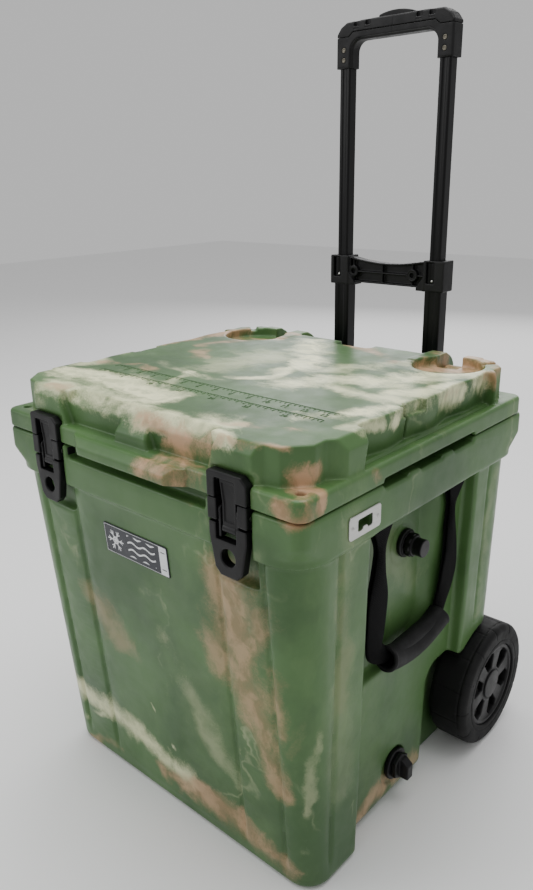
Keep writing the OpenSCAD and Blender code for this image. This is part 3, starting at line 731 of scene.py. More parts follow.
def cut_wheel_arch(body, x, y, z):
    arch = both(span(y, ARCH_FRONT, 400), z - ARCH_TOP, 25)
    arch = np.minimum(arch, disc(y, z, WHEEL, ARCH_R))
    return less(body, both(arch, ARCH_IN - np.abs(x), 5), 3)


def cut_latch_pocket(body, x, y, z):
    """Pocket with a sloping foot behind each latch."""
    latch = both(np.abs(np.abs(x) - LATCH_X) - 26.3, 201 + y, 2)
    return less(body, both(latch, slope(-z, -y, (-385, 201), 1, -0.6), 2.5), 1.6)


def cut_lid_gaps(body, x, y, z):
    """Gaps in the rim for lifting the lid, by its lip in front and by its sides."""
    ax = np.abs(x)
    gap = both(ax - 112, 204 + y, 3)
    body = less(body, both(gap, 450.5 - z, 4), 2)
    for low, top in ((-90, -45), (-24, 22), (45, 90)):
        gap = both(span(y, low, top), 212 - ax, 2)
        body = less(body, both(gap, 460.5 - z, 2), 1.2)
    gap = both(span(y, -92, 92), 214 - ax)
    return less(body, both(gap, 463.6 - z), 0.5)


def cut_tub_holes(body, x, y, z):
    """Round seats of the vent and the drain on the right, and the padlock, plate and axle holes."""
    ax = np.abs(x)
    for (cy, cz), floor in ((VENT, VENT_FLOOR), (DRAIN, DRAIN_FLOOR)):
        seat = both(disc(y, z, (cy - 5, cz), 25), floor - x, 2)
        body = less(body, both(seat, np.abs(x - 212) - 40), 2)
    body = less(body, both(disc(ax, y, PADLOCK, 5), 445 - z), 0.8)
    body = less(body, both(both(span(y, -138, -112), span(z, 432, 446), 1.5), 218 - ax), 0.5)
    return less(body, both(disc(y, z, WHEEL, 7), span(ax, 150, 200)))


def cut_room(body, x, y, z):
    """Room inside, wider at the rim."""
    lean = np.clip((z - 40) / (RIM_TOP - 40), 0, 1)
    ends = np.maximum(-y - 142 - 26 * lean, y - 160 - 4 * lean)
    room = both(np.abs(x) - 156 - 7 * lean, ends, 30)
    return less(body, both(room, 40 - z, 16), 3)


def hinge_posts(x, y, z):
    """Posts between the shoulders of the lid."""
    thick = np.abs(np.abs(x) - 140) - 12.5
    post = both(both(thick, np.abs(y - HINGE[0]) - 12, 2), span(z, 460, HINGE[1]))
    return either(post, both(disc(y, z, HINGE, 12), thick, 2))


def tub_field(x, y, z):
    body = tub_block(x, y, z)
    for cut in (cut_grooves, cut_side_panel, cut_hand_pocket, cut_wheel_arch, cut_latch_pocket,
                cut_lid_gaps, cut_tub_holes, cut_room):
        body = cut(body, x, y, z)
    return either(body, hinge_posts(x, y, z), 3)


# ---------------------------------------------------------------- lid

RECESS_OUT, RECESS_IN = 112.0, 27.0
CUP, CUP_R = (158.0, 152.0), 43.5
CORNER = [(165, -260), (171, -214), (178, -207), (193.5, -204), (214, -180), (213, -162),
          (228, -145), (260, -142), (260, -260)]
LIP = [(-90, 190), (-88, 221.5), (-69, 233), (69, 233), (88, 221.5), (90, 190)]


def lid_flange(x, y, z):
    flange = both(np.abs(x) - RIM_HALF, np.maximum(-y - RIM_FRONT, y - 213), 13)
    return both(both(flange, z - FLANGE_TOP, 4.5), LID_BASE - z, 1.2)


def lid_block(x, y, z):
    """Upright walls with cut corners, then a bevel up to the flat top."""
    ax = np.abs(x)
    bevel_x = slope(ax, z, (218.5, LID_TOP), 12, 7.5)
    bevel_y = slope(np.abs(y), z, (209.5, LID_TOP), 12, 6)
    top = both(both(ax - 226, bevel_x), both(np.abs(y) - 215, bevel_y), 3)
    cut_corner = (ax - y * 0.86 - 377.5 - (LID_TOP - z) * 0.9) / 1.32
    cut_back = (ax + y - 404 - (LID_TOP - z) * 0.75) / 1.41
    top = both(both(both(top, cut_corner, 1.5), cut_back, 1.5), z - LID_TOP, 1.2)
    return both(top, FLANGE_TOP - 4 - z)


def add_shoulders(top, x, y, z):
    """Shoulders that carry the hinge rods."""
    for low, high in ((103, 125.5), (154.5, 177)):
        ear = np.minimum(disc(y, z, HINGE, 26), both(span(y, 150, HINGE[0]), z - LID_TOP))
        top = either(top, both(both(ear, 475 - z), span(np.abs(x), low, high), 2), 3)
    return top


def cut_long_recess(top, x, y, z):
    """Long recess with a wavy edge along each side, a notch in its edge and a step in its foot."""
    ax = np.abs(x)
    wave = 211.5 + 2.4 * np.cos((y + 62) / 13.5) + 1.6 * np.cos(y / 31)
    long_cut = both(wave + (z - 515) * 0.12 - ax, span(y, -118 + (z - 500) * 0.25, 150), 3)
    top = less(top, long_cut, 1.5)
    notch = both(np.abs(y - 0.3 * (ax - 205) + 24) - 2.2, 204 - ax)
    top = less(top, both(notch, slope(ax, -z, (204, -LID_TOP), 1, -1.0)), 0.6)
    step = both(span(y, -34, 8), 207 - ax, 2)
    return less(top, both(step, 514 - z, 2), 1)


def cut_front_recesses(top, x, y, z):
    """Recesses each side of the middle, and the front dressed back between the latches."""
    ax = np.abs(x)
    lean = (z - FLANGE_TOP) * 0.3
    recess = both(span(ax, RECESS_IN - 0.9 * lean, RECESS_OUT + lean), y + 204 + 0.3 * lean, 3)
    top = less(top, both(recess, 486 - z, 2), 2)
    brow = both(span(ax, 0, 112), -slope(-y, z, (219, 494), 1, 0.72))
    return less(top, brow, 1.5)


def cut_corner_pockets(top, x, y, z):
    """Corner pockets and the ends of the latch shoulders."""
    ax = np.abs(x)
    top = less(top, outline(ax, y, CORNER), 0.8)
    return less(top, both(outline(ax, -y, CORNER), 480 - z), 1.5)


def lid_lip(x, y, z):
    """Lip for the fingers."""
    lip = both(outline(x, -y, LIP), span(z, LID_BASE, 486), 1)
    return both(lip, slope(-y, z, (226, 486), 1, 0.8), 1)


def cut_cups(body, x, y, z):
    """Cup recesses with a slot to the back corner."""
    ax = np.abs(x)
    body = less(body, both(disc(ax, y, CUP, CUP_R), LID_TOP - 12 - z, 3), 1.2)
    along = ((ax - CUP[0]) + (y - CUP[1])) * 0.7071
    across = ((ax - CUP[0]) - (y - CUP[1])) * 0.7071
    slot = both(span(along, 20, 120), np.abs(across) - 4.5, 2)
    return less(body, both(slot, LID_TOP - 4 - z, 1.5), 1)


def cut_handle_room(body, x, y, z):
    """Room for the pull handle and the posts of the tub."""
    ax = np.abs(x)
    body = less(body, both(ax - 102.8, 190 - y, 4), 2)
    body = less(body, both(both(ax - 28, 172 - y, 6), 500 - z), 2)
    return less(body, both(span(ax, 126, 154), 180 - y, 3), 1)


def cut_lid_holes(body, x, y, z):
    """Padlock holes, widened at their mouths, and the gaps for lifting the lid from the side."""
    ax = np.abs(x)
    sink = np.clip(z - FLANGE_TOP + 2, 0, 2)
    body = less(body, disc(ax, y, PADLOCK, 5) - 0.7 * sink, 0.6)
    lift = both(span(y, -92, 92), 212 - ax, 4)
    return less(body, both(lift, z - 472, 3), 0.8)


def lid_field(x, y, z):
    ax = np.abs(x)
    top = lid_block(x, y, z)
    for change in (add_shoulders, cut_long_recess, cut_front_recesses, cut_corner_pockets):
        top = change(top, x, y, z)
    body = either(lid_flange(x, y, z), top, 1.5)
    channel = both(span(ax, 213.5, 218.5), both(span(y, -112, 150), 486 - z), 1)
    body = less(body, channel, 0.8)
    body = either(body, lid_lip(x, y, z), 1)
    latch_bed = both(np.abs(ax - LATCH_X) - 25.6, 212.8 + y, 0.8)
    body = less(body, both(latch_bed, z - 497.4, 0.8), 0.6)
    for cut in (cut_cups, cut_handle_room, cut_lid_holes):
        body = cut(body, x, y, z)
    plug = both(ax - 159.5, np.maximum(-y - 163, y - 160), 26)
    plug = both(both(plug, 457 - z, 4), z - 470)
    return either(body, plug, 1)


def make_shells():
    moulded("tub", tub_field, (-231, -220, -1), (231, 220, 515), TUB_STEP, 0.28, "tub",
            "tub_plastic", "tub_shell", "tub_liner")
    moulded("lid", lid_field, (-231, -234, 456), (231, 231, 528), LID_STEP, 0.28, "lid",
            "lid_plastic", "lid_shell")


# ---------------------------------------------------------------- latches

def latch_hook_field(u, y, z):
    """Hook frame with a window, and the stem that hangs from it; u is measured from its middle."""
    frame_shape = both(span(u, -25, 25), span(z, 469.6, 496.5), 1.2)
    frame_shape = both(frame_shape, (u + z - 514.5) / 1.414, 1)
    frame_shape = both(frame_shape, (z - u - 519) / 1.414, 1)
    shape = both(frame_shape, span(y, LATCH_FACE, LATCH_BACK), 1.2)
    window = both(span(u, -15, 11), z - 490, 1.5)
    shape = less(shape, both(window, y + 219.8), 0.6)
    shape = less(shape, both(both(span(u, -15, -8.6), z - 487, 1), y + 200), 0.6)
    shape = less(shape, both(window, z - 471), 0.4)
    stem = outline(u, z, [(-11.6, 489), (-8.6, 467), (-8.6, LINK[1]), (9.4, LINK[1]), (9.4, 489)])
    stem = both(stem, span(y, -220.4, -214.4), 0.8)
    eye = both(disc(y, z, LINK, 4.4), span(u, -8.6, 9.4), 0.8)
    shape = either(either(shape, stem, 0.8), eye, 0.8)
    hollow = outline(u, z, [(-8.6, 485), (-5.5, 464), (-5.5, 447), (7, 447), (7, 485)])
    shape = less(shape, both(hollow, y + 219.2), 0.5)
    return less(shape, disc(y, z, LINK, 2.1))


def latch_lever_field(u, y, z):
    """Lever with a finger hole, a window for the stem and two ears on the pivot pins."""
    face = outline(u, z, [(-24, 444.4), (-24, 432), (-17.5, 398), (-10.5, 391), (10.5, 391),
                          (17.5, 398), (24, 432), (24, 444.4)])
    shape = both(face, span(y, LATCH_FACE, LATCH_BACK), 1.4)
    shape = less(shape, both(span(u, -15, 11), 428 - z, 1.5), 0.7)
    shape = less(shape, np.hypot(u, z - 411.5) - 9, 1.4)
    for low in (-12.9, 9.8):
        ear = both(span(z, 430, PIVOT[1]), span(y, -221.4, -213.6), 0.6)
        ear = np.minimum(ear, disc(y, z, PIVOT, 5.4))
        shape = either(shape, both(ear, span(u, low, low + 3.1), 0.5), 0.6)
    return shape


def latch_bracket_field(u, y, z):
    """Two cheeks that stand out of the tub beside the stem, on plates in the latch's pocket."""
    au = np.abs(u)
    cheek = both(span(au, 13.5, 25), span(z, 446.9, 468.9), 1)
    cheek = both(cheek, span(y, LATCH_FACE, -201), 1)
    plate = both(both(au - 25.8, span(z, 426, 463), 1), span(y, -205, -201), 0.6)
    shape = either(cheek, plate, 1)
    return less(shape, disc(y, z, PIVOT, 2.5))


def latch_stop_field(x, y, z):
    """Block that shows beside the left latch, in the end of the finger gap."""
    flat = both(span(x, -120, -111.5), span(y, -216.5, -205), 1)
    return both(flat, span(z, 452.5, 462.5), 1)


def make_latches():
    """Each piece is made about the middle of its latch and then moved into place."""
    low, high = (-28, -224), (28, -200)
    shapes = (("latch_hook", latch_hook_field, 432, 498, "hook_{}", "latch_hook_{}"),
              ("latch_lever", latch_lever_field, 389, 464, "lever_{}", "latch_lever_{}"),
              ("latch_bracket", latch_bracket_field, 425, 470, "tub", "latch_brackets"))
    for side, sign in (("left", -1), ("right", 1)):
        for name, field, foot, top, body, node in shapes:
            points, quads = surface(field, low + (foot,), high + (top,), 0.6)
            points[:, 0] += sign * LATCH_X
            piece = mesh_object(f"{name}_{side}_moulding", points, quads, body.format(side))
            thin_out(piece, 0.35)
            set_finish(piece, "latch_plastic")
            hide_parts(node.format(side))
    moulded("latch_stop", latch_stop_field, (-121, -218, 451), (-110, -204, 464), 0.6, 0.4, "tub",
            "latch_plastic")


# ---------------------------------------------------------------- wheels

TYRE_GAPS = 12
HUB_TURN = math.radians(17)


def tyre_field(x, y, z):
    """Tyre with a groove round its side, and shallow gaps across its tread and its shoulder."""
    r = disc(y, z, WHEEL, 0)
    shape = both(both(r - 85, span(x, 185.5, 239.5), 9), 57.6 - r, 1.5)
    shape = less(shape, both(np.abs(r - 64.5) - 0.7, 238.4 - x), 0.5)
    skin = -shape - 1.1
    turn = np.arctan2(z - WHEEL[1], y - WHEEL[0]) * TYRE_GAPS / (2 * math.pi)
    for shift, low, high in ((0.1, 180, 231), (0.42, 226, 240)):
        gap = np.abs((turn + shift) % 1 - 0.5) * (2 * math.pi / TYRE_GAPS) * r - 0.7
        cut = both(both(gap, skin), both(span(x, low, high), 72 - r))
        shape = less(shape, cut, 0.4)
    line = both(np.abs(x - 229) - 0.6, skin)
    return less(shape, both(line, 80 - r), 0.4)


def hub_field(x, y, z):
    """Rim and boss joined by a disc with six windows."""
    u, v = y - WHEEL[0], z - WHEEL[1]
    r = np.hypot(u, v)
    rim = both(span(r, 52.5, 57.4), span(x, 190, 237), 1.2)
    disc_face = both(r - 54, span(x, 227, 234.5), 0.8)
    turn = one_sixth(np.arctan2(v, u) + HUB_TURN)
    window = outline(r * np.cos(turn), r * np.sin(turn),
                     [(24.5, -5), (43, -13), (52, -8.5), (52, 8.5), (43, 13), (24.5, 5)])
    disc_face = less(disc_face, window, 0.9)
    disc_face = less(disc_face, both(span(r, 20.2, 21.8), 233.2 - x), 0.4)
    boss = both(span(r, 6.1, 14), span(x, 187.6, 232), 1)
    return either(either(rim, disc_face, 2.5), boss, 2)


def hub_cap_field(x, y, z):
    """Slightly domed cap."""
    r = disc(y, z, WHEEL, 0)
    dome = x - 237.4 + r * r * 0.0022
    return both(both(r - 20, dome, 1.2), 234.2 - x)


def make_wheels():
    shapes = (("tyre", tyre_field, (184, 99, -1), (241, 271, 171), 1.3, 0.5, "tyre"),
              ("hub", hub_field, (187, 126, 26), (238, 244, 144), 1.0, 0.35, "hub_plastic"),
              ("hub_cap", hub_cap_field, (233, 164, 64), (240, 206, 106), 0.7, 0.4, "hub_plastic"))
    for name, field, low, high, step, keep, slot in shapes:
        both_sides(name + "_{}_moulding", field, low, high, step, keep, "wheel_{}", slot, name + "_{}")


# ---------------------------------------------------------------- pull handle

POST_X, POST_Y = 75.3, 260.0
BLOCK_FOOT, BLOCK_TOP = 596.0, 636.5
WEB_MID, BOSS_OFF = -6.2, 48.5


def tube_field(half_x, half_y, wall, low, high):
    """Upright hollow tube on one post, with round edges and a groove along its front and back."""
    def field(x, y, z):
        u, v = np.abs(x - POST_X), np.abs(y - POST_Y)
        shape = both(u - half_x, v - half_y, 2)
        shape = less(shape, both(u - 0.35 * half_x, half_y - 0.6 - v), 0.4)
        shape = less(shape, both(u - half_x + wall, v - half_y + wall, 1))
        return both(shape, span(z, low, high))
    return field


def make_tubes():
    sets = (("outer_tube", 15, 12.5, 2.0, 112, 424, "tub", "rail_tubes"),
            ("middle_tube", 12.3, 10, 1.5, 290, BLOCK_TOP - 3, "handle_middle", "middle_tubes"),
            ("top_tube", 8.25, 8.25, 1.6, 556, 916, "handle_top", "top_tubes"))
    for name, half_x, half_y, wall, low, high, body, node in sets:
        corner = (POST_X - half_x - 1, POST_Y - half_y - 1, low - 1)
        far = (POST_X + half_x + 1, POST_Y + half_y + 1, high + 1)
        field = tube_field(half_x, half_y, wall, low, high)
        both_sides(name + "_{}", field, corner, far, 0.8, 0.1, body, "handle_tube", node)


def bracket_field(x, y, z):
    """Blocks that join the middle tubes to the top tubes, and the ribbed web between them."""
    ax = np.abs(x)
    y = y - POST_Y
    block = both(both(span(ax, 61.2, 92.4), np.abs(y) - 13.4, 1.6), span(z, BLOCK_FOOT, BLOCK_TOP), 1.4)
    curve = 280 - np.hypot(x, z - BLOCK_TOP - 272)
    foot = BLOCK_FOOT + 3.6 - z
    edge = both(curve, foot)
    web = both(both(ax - 62, span(y, -9, 7)), both(edge, z - BLOCK_TOP + 2.5), 1)
    hollow = both(both(ax - 60, edge + 2.4, 1), y + 3)
    web = less(web, hollow, 0.8)
    flare = outline(ax, z, [(64, BLOCK_FOOT), (64, 614), (60, 612), (51, 600), (51, BLOCK_FOOT)])
    web = either(web, both(flare, span(y, -13, 7), 0.8), 0.8)
    u = np.abs(x - WEB_MID)
    level = z - BLOCK_FOOT - 19
    lines = np.minimum(np.abs(level) - 1, np.minimum(u - 0.9, np.abs(u - BOSS_OFF) - 0.9))
    ribs = both(both(lines, span(y, -8.6, 0)), both(edge, ax - 61))
    shape = either(either(block, web, 1.5), ribs, 0.5)
    boss = np.hypot(u - BOSS_OFF, level)
    shape = either(shape, both(boss - 8.2, span(y, -10, 0), 0.8), 0.8)
    shape = less(shape, both(boss - 3.4, y + 5), 0.4)
    shape = less(shape, both(both(ax - 50.5, boss - 6.2), both(4.4 - boss, y + 9.2)), 0.3)
    for middle in (-80.7, 72.2):
        slot = both(both(np.abs(x - middle) - 6, span(z, 606.5, BLOCK_TOP - 2.2), 1), y + 10.6)
        shape = less(shape, slot, 0.7)
        hole = both(both(np.abs(x - middle + 1.6) - 2.6, span(z, 607.4, 616)), y + 7)
        shape = less(shape, hole, 0.3)
    shape = less(shape, both(np.abs(ax - POST_X) - 8.5, np.abs(y) - 8.5))
    return less(shape, both(both(np.abs(ax - POST_X) - 12.4, np.abs(y) - 10.1), z - BLOCK_TOP + 3))


def spring_pin_field(x, y, z):
    """Round ends of the spring pins, one in each window of the bracket."""
    return nearest_of(np.sqrt((x - middle) ** 2 + (y - POST_Y + 9.4) ** 2 + (z - 609.6) ** 2) - 2.0
                      for middle in (-79, 74))


SPLIT = 923.0
GRIP_SCREWS = (890, 902)


def grip_half_field(lower):
    """Grip of the pull handle below or above its parting line, with the button's well cut out."""
    def field(x, y, z):
        ax = np.abs(x)
        y = y - POST_Y
        outer = outline(ax, z, [(-1, 880), (-1, 936), (40, 936), (72, 935), (81, 929.5),
                                (87, 921), (87, 880)])
        opening = both(ax - 63.5, z - 913, 14)
        shape = less(outer, opening)
        depth = 12 - 1.6 * np.clip((z - SPLIT) / 13, 0, 1) ** 2
        shape = both(shape, np.abs(y) - depth, 2.6)
        # The inside of the opening is dressed back towards its middle
        shape = less(shape, both(opening - 2.4, 8.5 - np.abs(y), 2), 1.5)
        parting = SPLIT - 5.5 * np.clip((ax - 61) / 7, 0, 1)
        if lower:
            shape = both(shape, z - parting + 0.3, 0.6)
            tube = both(np.abs(ax - POST_X) - 8.2, np.maximum(np.abs(y) - 8.2, z - 916))
            shape = less(shape, tube)
            for level in GRIP_SCREWS:
                seat = both(np.hypot(ax - POST_X, z - level) - 3.6, y + 11.4)
                shape = less(shape, seat, 0.3)
        else:
            shape = both(shape, parting + 0.3 - z, 0.6)
            for at in (38, 56):
                notch = both(both(span(ax, at - 4, at + 4), 928.8 - z, 1), y + 7.4)
                shape = less(shape, notch, 0.5)
                dash = both(both(span(ax, at - 4.2, at + 4.2), np.abs(z - 926.2) - 0.6), y + 11.2)
                shape = less(shape, dash, 0.3)
        return less(shape, both(ax - 25.4, np.maximum(np.abs(y) - 7.4, 919 - z)), 0.8)
    return field


def button_field(x, y, z):
    """Button with an arched top and two hollows beneath for the springs."""
    y = y - POST_Y
    crown = np.hypot(x, z - 852) - 90
    shape = both(both(np.abs(x) - 24.8, np.abs(y) - 6.9, 2), both(crown, 927.2 - z), 1.5)
    spring_seat = both(disc(np.abs(x), y, (14, 0), 4.7), z - 932)
    return less(shape, spring_seat, 0.3)


def screw_field(centres, face, r, height):
    """Round screw heads on a face that looks along -Y, each with a hexagonal socket."""
    def head(u, y, v):
        hexagon = np.maximum(np.abs(u), np.abs(u * 0.5) + np.abs(v * 0.866)) - 0.55 * r
        round_head = both(np.hypot(u, v) - r, span(y, face - height, face + 1), 0.4)
        return less(round_head, both(hexagon, y - face + 0.2))

    def field(x, y, z):
        return nearest_of(head(x - cx, y, z - cz) for cx, cz in centres)
    return field


def make_handle():
    make_tubes()
    pieces = (("middle_bracket", bracket_field, 94, 15, 594, 638, 0.9, "handle_middle"),
              ("grip_body", grip_half_field(True), 88, 13, 879, 925, 0.8, "handle_top"),
              ("grip_cover", grip_half_field(False), 88, 13, 916, 937, 0.8, "handle_top"),
              ("release_button", button_field, 26, 9, 926, 944, 0.7, "button"))
    for name, field, half, deep, low, high, step, body in pieces:
        corner, far = (-half, POST_Y - deep, low), (half, POST_Y + deep, high)
        moulded(name + "_moulding", field, corner, far, step, 0.4, body, "handle_plastic", name)
    moulded("spring_pins", spring_pin_field, (-82, POST_Y - 13, 606), (77, POST_Y - 6, 613), 0.5, 1,
            "handle_middle", "steel")
    centres = [(side * POST_X, level) for side in (-1, 1) for level in GRIP_SCREWS]
    screws = moulded("grip_screw_heads", screw_field(centres, POST_Y - 11.4, 3.0, 0.8),
                     (-80, POST_Y - 13, 885), (80, POST_Y - 9, 908), 0.5, 0.5, "handle_top", "steel",
                     "grip_screws")
    screws.data.materials.append(brushed("dark_steel", srgb(112, 108, 98), 0.45))


# ---------------------------------------------------------------- carry handles

CARRY_X, ANCHOR_X, ANCHOR_Z, ANCHOR_OFF = 211.0, 213.0, 408.0, 76.0
HANDLE_MID = 7.0
GRIP_END, GRIP_END_Z, GRIP_SAG = 63.0, 240.0, 12.0
# Bore of the grip, which runs straight between two rings a little inside its ends
GRIP_BORE, BORE_END = 10.5, 0.97
# Length of the grip's front half as a share of its back half's
FRONT_SHORT = 0.86
WEB_THICK = 1.5


def smooth_path(points, per_span):
    """Points along a Catmull-Rom curve through the given ones."""
    points = np.array(points, float)
    padded = np.vstack([2 * points[0] - points[1], points, 2 * points[-1] - points[-2]])
    out = []
    for i in range(len(points) - 1):
        a, b, c, d = padded[i:i + 4]
        for t in np.linspace(0, 1, per_span, endpoint=False):
            out.append(0.5 * (2 * b + (c - a) * t + (2 * a - 5 * b + 4 * c - d) * t ** 2
                              + (3 * b - a - 3 * c + d) * t ** 3))
    out.append(points[-1])
    return np.array(out)


def ring_faces(count, around, closed=False):
    """Quads between each ring of points and the next, and from the last to the first if closed."""
    faces = []
    for i in range(count if closed else count - 1):
        k = (i + 1) % count
        for j in range(around):
            n = (j + 1) % around
            faces.append((i * around + j, i * around + n, k * around + n, k * around + j))
    return faces


def web_band(name, rows, body):
    """Flat webbing: each row gives x, y and z of its middle, half its width, and its cup."""
    rows = smooth_path(rows, 8)
    centre, half, cup = rows[:, :3], rows[:, 3], rows[:, 4]
    along = np.gradient(centre, axis=0)
    along /= np.linalg.norm(along, axis=1)[:, None]
    across = np.cross(along, np.array([1.0, 0, 0]))
    across /= np.linalg.norm(across, axis=1)[:, None]
    out = np.cross(across, along)
    width = np.linspace(-1, 1, 17)
    ring = []
    for side in (1, -1):
        for t in width[::side]:
            bend = -cup * t * t
            edge = WEB_THICK / 2 * side * math.sqrt(max(0.0, 1 - abs(t) ** 12) * 0.84 + 0.16)
            ring.append(centre + across * (half * t)[:, None] + out * (bend + edge)[:, None])
    ring = np.stack(ring, 1)
    count, around = ring.shape[:2]
    caps = [tuple(range(around))[::-1], tuple((count - 1) * around + j for j in range(around))]
    obj = mesh_object(name, ring.reshape(-1, 3), ring_faces(count, around) + caps, body)
    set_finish(obj, "webbing")
    return obj


def strap_rows(end, layer):
    """Middle line of one web: down from the anchor pin and in to the end of the grip."""
    top = HANDLE_MID + end * ANCHOR_OFF
    tip = HANDLE_MID + end * GRIP_END * (FRONT_SHORT if end < 0 else 1)
    off = 2.4 * layer
    waist = 7.5 if end < 0 else 6.0
    wide = 17.5 if end < 0 else 13.0
    return [(ANCHOR_X + off * 1.5, top, ANCHOR_Z + 1.0, 18.0, 0.2),
            (ANCHOR_X + off * 1.2, top - end * 1.0, ANCHOR_Z - 12, 12.0, 1.0),
            (ANCHOR_X + off, top - end * 2.0, ANCHOR_Z - 28, waist, 2.5),
            (ANCHOR_X + off, top - end * 1.0, 355.0, waist + 3.0, 2.5),
            (ANCHOR_X + off * 0.8, top + end * 1.0, 325.0, wide, 1.5),
            (ANCHOR_X + off * 0.5 - 0.5, top + end * 1.0, 295.0, 17.5, 1.5),
            (ANCHOR_X + off * 0.4 - 1.0, top - end * 1.0, 272.0, 16.5, 3.0),
            (CARRY_X + off * 0.4, top - end * 5.0, 255.0, 14.0, 4.5),
            (CARRY_X + off * 0.4, tip + end * 3.0, 242.0, 11.5, 6.0),
            (CARRY_X + off * 0.4, tip - end * 8.0, 236.0, 10.5, 6.0)]


def grip_tube(name, body, sign):
    """Rubber grip swept along a shallow arc, with rolled ends and a bore for the web.

    Each section is its share of the way from the middle to an end, and its radius.
    """
    arc = (GRIP_END ** 2 + GRIP_SAG ** 2) / (2 * GRIP_SAG)
    reach = math.asin(GRIP_END / arc)
    middle = GRIP_END_Z - GRIP_SAG + arc
    sections = [(-1.0, GRIP_BORE), (-1.0, 13.2), (-0.985, 14.6), (-0.96, 15.0), (-0.93, 14.4),
                (-0.6, 14.3), (-0.2, 14.6), (0.2, 14.6), (0.6, 14.3), (0.93, 14.4), (0.96, 15.0),
                (0.985, 14.6), (1.0, 13.2), (1.0, GRIP_BORE)]
    steps = [(-BORE_END, GRIP_BORE)]
    for (a, ra), (b, rb) in zip(sections, sections[1:]):
        count = 1 if abs(b - a) < 0.1 else 10
        steps += [(a + (b - a) * i / count, ra + (rb - ra) * i / count) for i in range(count)]
    steps += [sections[-1], (BORE_END, GRIP_BORE)]
    around = 48
    points = []
    for share, r in steps:
        turn = share * reach * (FRONT_SHORT if share < 0 else 1)
        y = HANDLE_MID + arc * math.sin(turn)
        z = middle - arc * math.cos(turn)
        for i in range(around):
            spin = 2 * math.pi * i / around
            out = r * math.cos(spin)
            up = r * math.sin(spin)
            points.append((sign * (CARRY_X + out), y - up * math.sin(turn), z + up * math.cos(turn)))
    faces = [face[::sign] for face in ring_faces(len(steps), around, closed=True)]
    obj = mesh_object(name, points, faces, body)
    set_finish(obj, "grip_rubber")
    return obj


def make_carry_handles():
    for side, sign in (("left", -1), ("right", 1)):
        body = "carry_" + side
        grip = grip_tube(f"carry_grip_{side}_rubber", body, sign)
        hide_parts("carry_grip_" + side)
        for place, end in (("front", -1), ("back", 1)):
            for layer, depth in (("outer", 1), ("inner", -1)):
                rows = [(sign * x, y, z, half, sign * cup)
                        for x, y, z, half, cup in strap_rows(end, depth)]
                web = web_band(f"web_{side}_{place}_{layer}", rows, body)
                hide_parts("straps_" + side)


# ---------------------------------------------------------------- fittings and labels

def vent_body_field(x, y, z):
    r = disc(y, z, VENT, 0)
    shape = both(r - 17, span(x, 189.2, 194), 1.2)
    shape = either(shape, both(r - 15.2, span(x, 189.2, 196), 1), 0.6)
    return either(shape, both(r - 11.5, span(x, 160, 192)), 0.5)


def vent_cap_field(x, y, z):
    r = disc(y, z, VENT, 0)
    turn = np.arctan2(z - VENT[1], y - VENT[0])
    lobes = np.clip(1.6 * np.cos(8 * turn), -0.8, 0.9)
    skirt = both(r - 13.4 - lobes, span(x, 196.4, 202.6), 0.8)
    collar = both(r - 12.4, span(x, 202, 204.6), 0.8)
    knob = both(r - 10.2 - (x - 204) * 0.03, span(x, 204, 216.4), 1.1)
    return either(either(skirt, collar, 0.8), knob, 0.8)


def drain_body_field(x, y, z):
    r = disc(y, z, DRAIN, 0)
    shape = both(r - 20.5, span(x, 195.2, 201), 1.4)
    return either(shape, both(r - 11.5, span(x, 160, 202)), 0.5)


def drain_plug_field(x, y, z):
    u, v = y - DRAIN[0], z - DRAIN[1]
    base = np.maximum(np.abs(u) - 13.5, np.abs(u) * 0.5 + np.abs(v) * 0.866 - 15.5)
    base = both(base, span(x, 201.5, 208), 1.2)
    bar = both(both(span(u, -5, 7), np.abs(v) - 13, 1.5), span(x, 202, 220), 1.4)
    bar = both(bar, slope(v, x, (6, 220), 1, 0.8), 1)
    return either(base, bar, 1.2)


def lock_plate_field(x, y, z):
    face = both(both(span(y, -151, -99), span(z, 427, 451), 4), span(x, 229.8, 231.5), 0.4)
    slot = both(span(y, -137, -113), span(z, 433, 445), 2)
    tab = both(span(y, -129, -121), z - 436, 2.5)
    slot = less(slot, tab, 1.2)
    return less(face, slot, 0.3)


def side_screw_field(x, y, z):
    """Slotted screws at the ends of the lock plate."""
    def head(v):
        dome = np.sqrt(v ** 2 + (z - 439) ** 2 + (x - 228.6) ** 2 * 0.6) - 3.2
        return less(both(dome, 230 - x), both(np.abs(v) - 0.35, 231.6 - x))
    return np.minimum(head(y + 145.5), head(y + 104.5))


BADGE = (-62.0, 44.0, 348.0, 385.0)


def badge_field(x, y, z):
    plate = both(span(x, BADGE[0], BADGE[1]), span(z, BADGE[2], BADGE[3]), 1.8)
    return both(plate, span(front_height(y, z), -0.3, 1.2), 0.3)


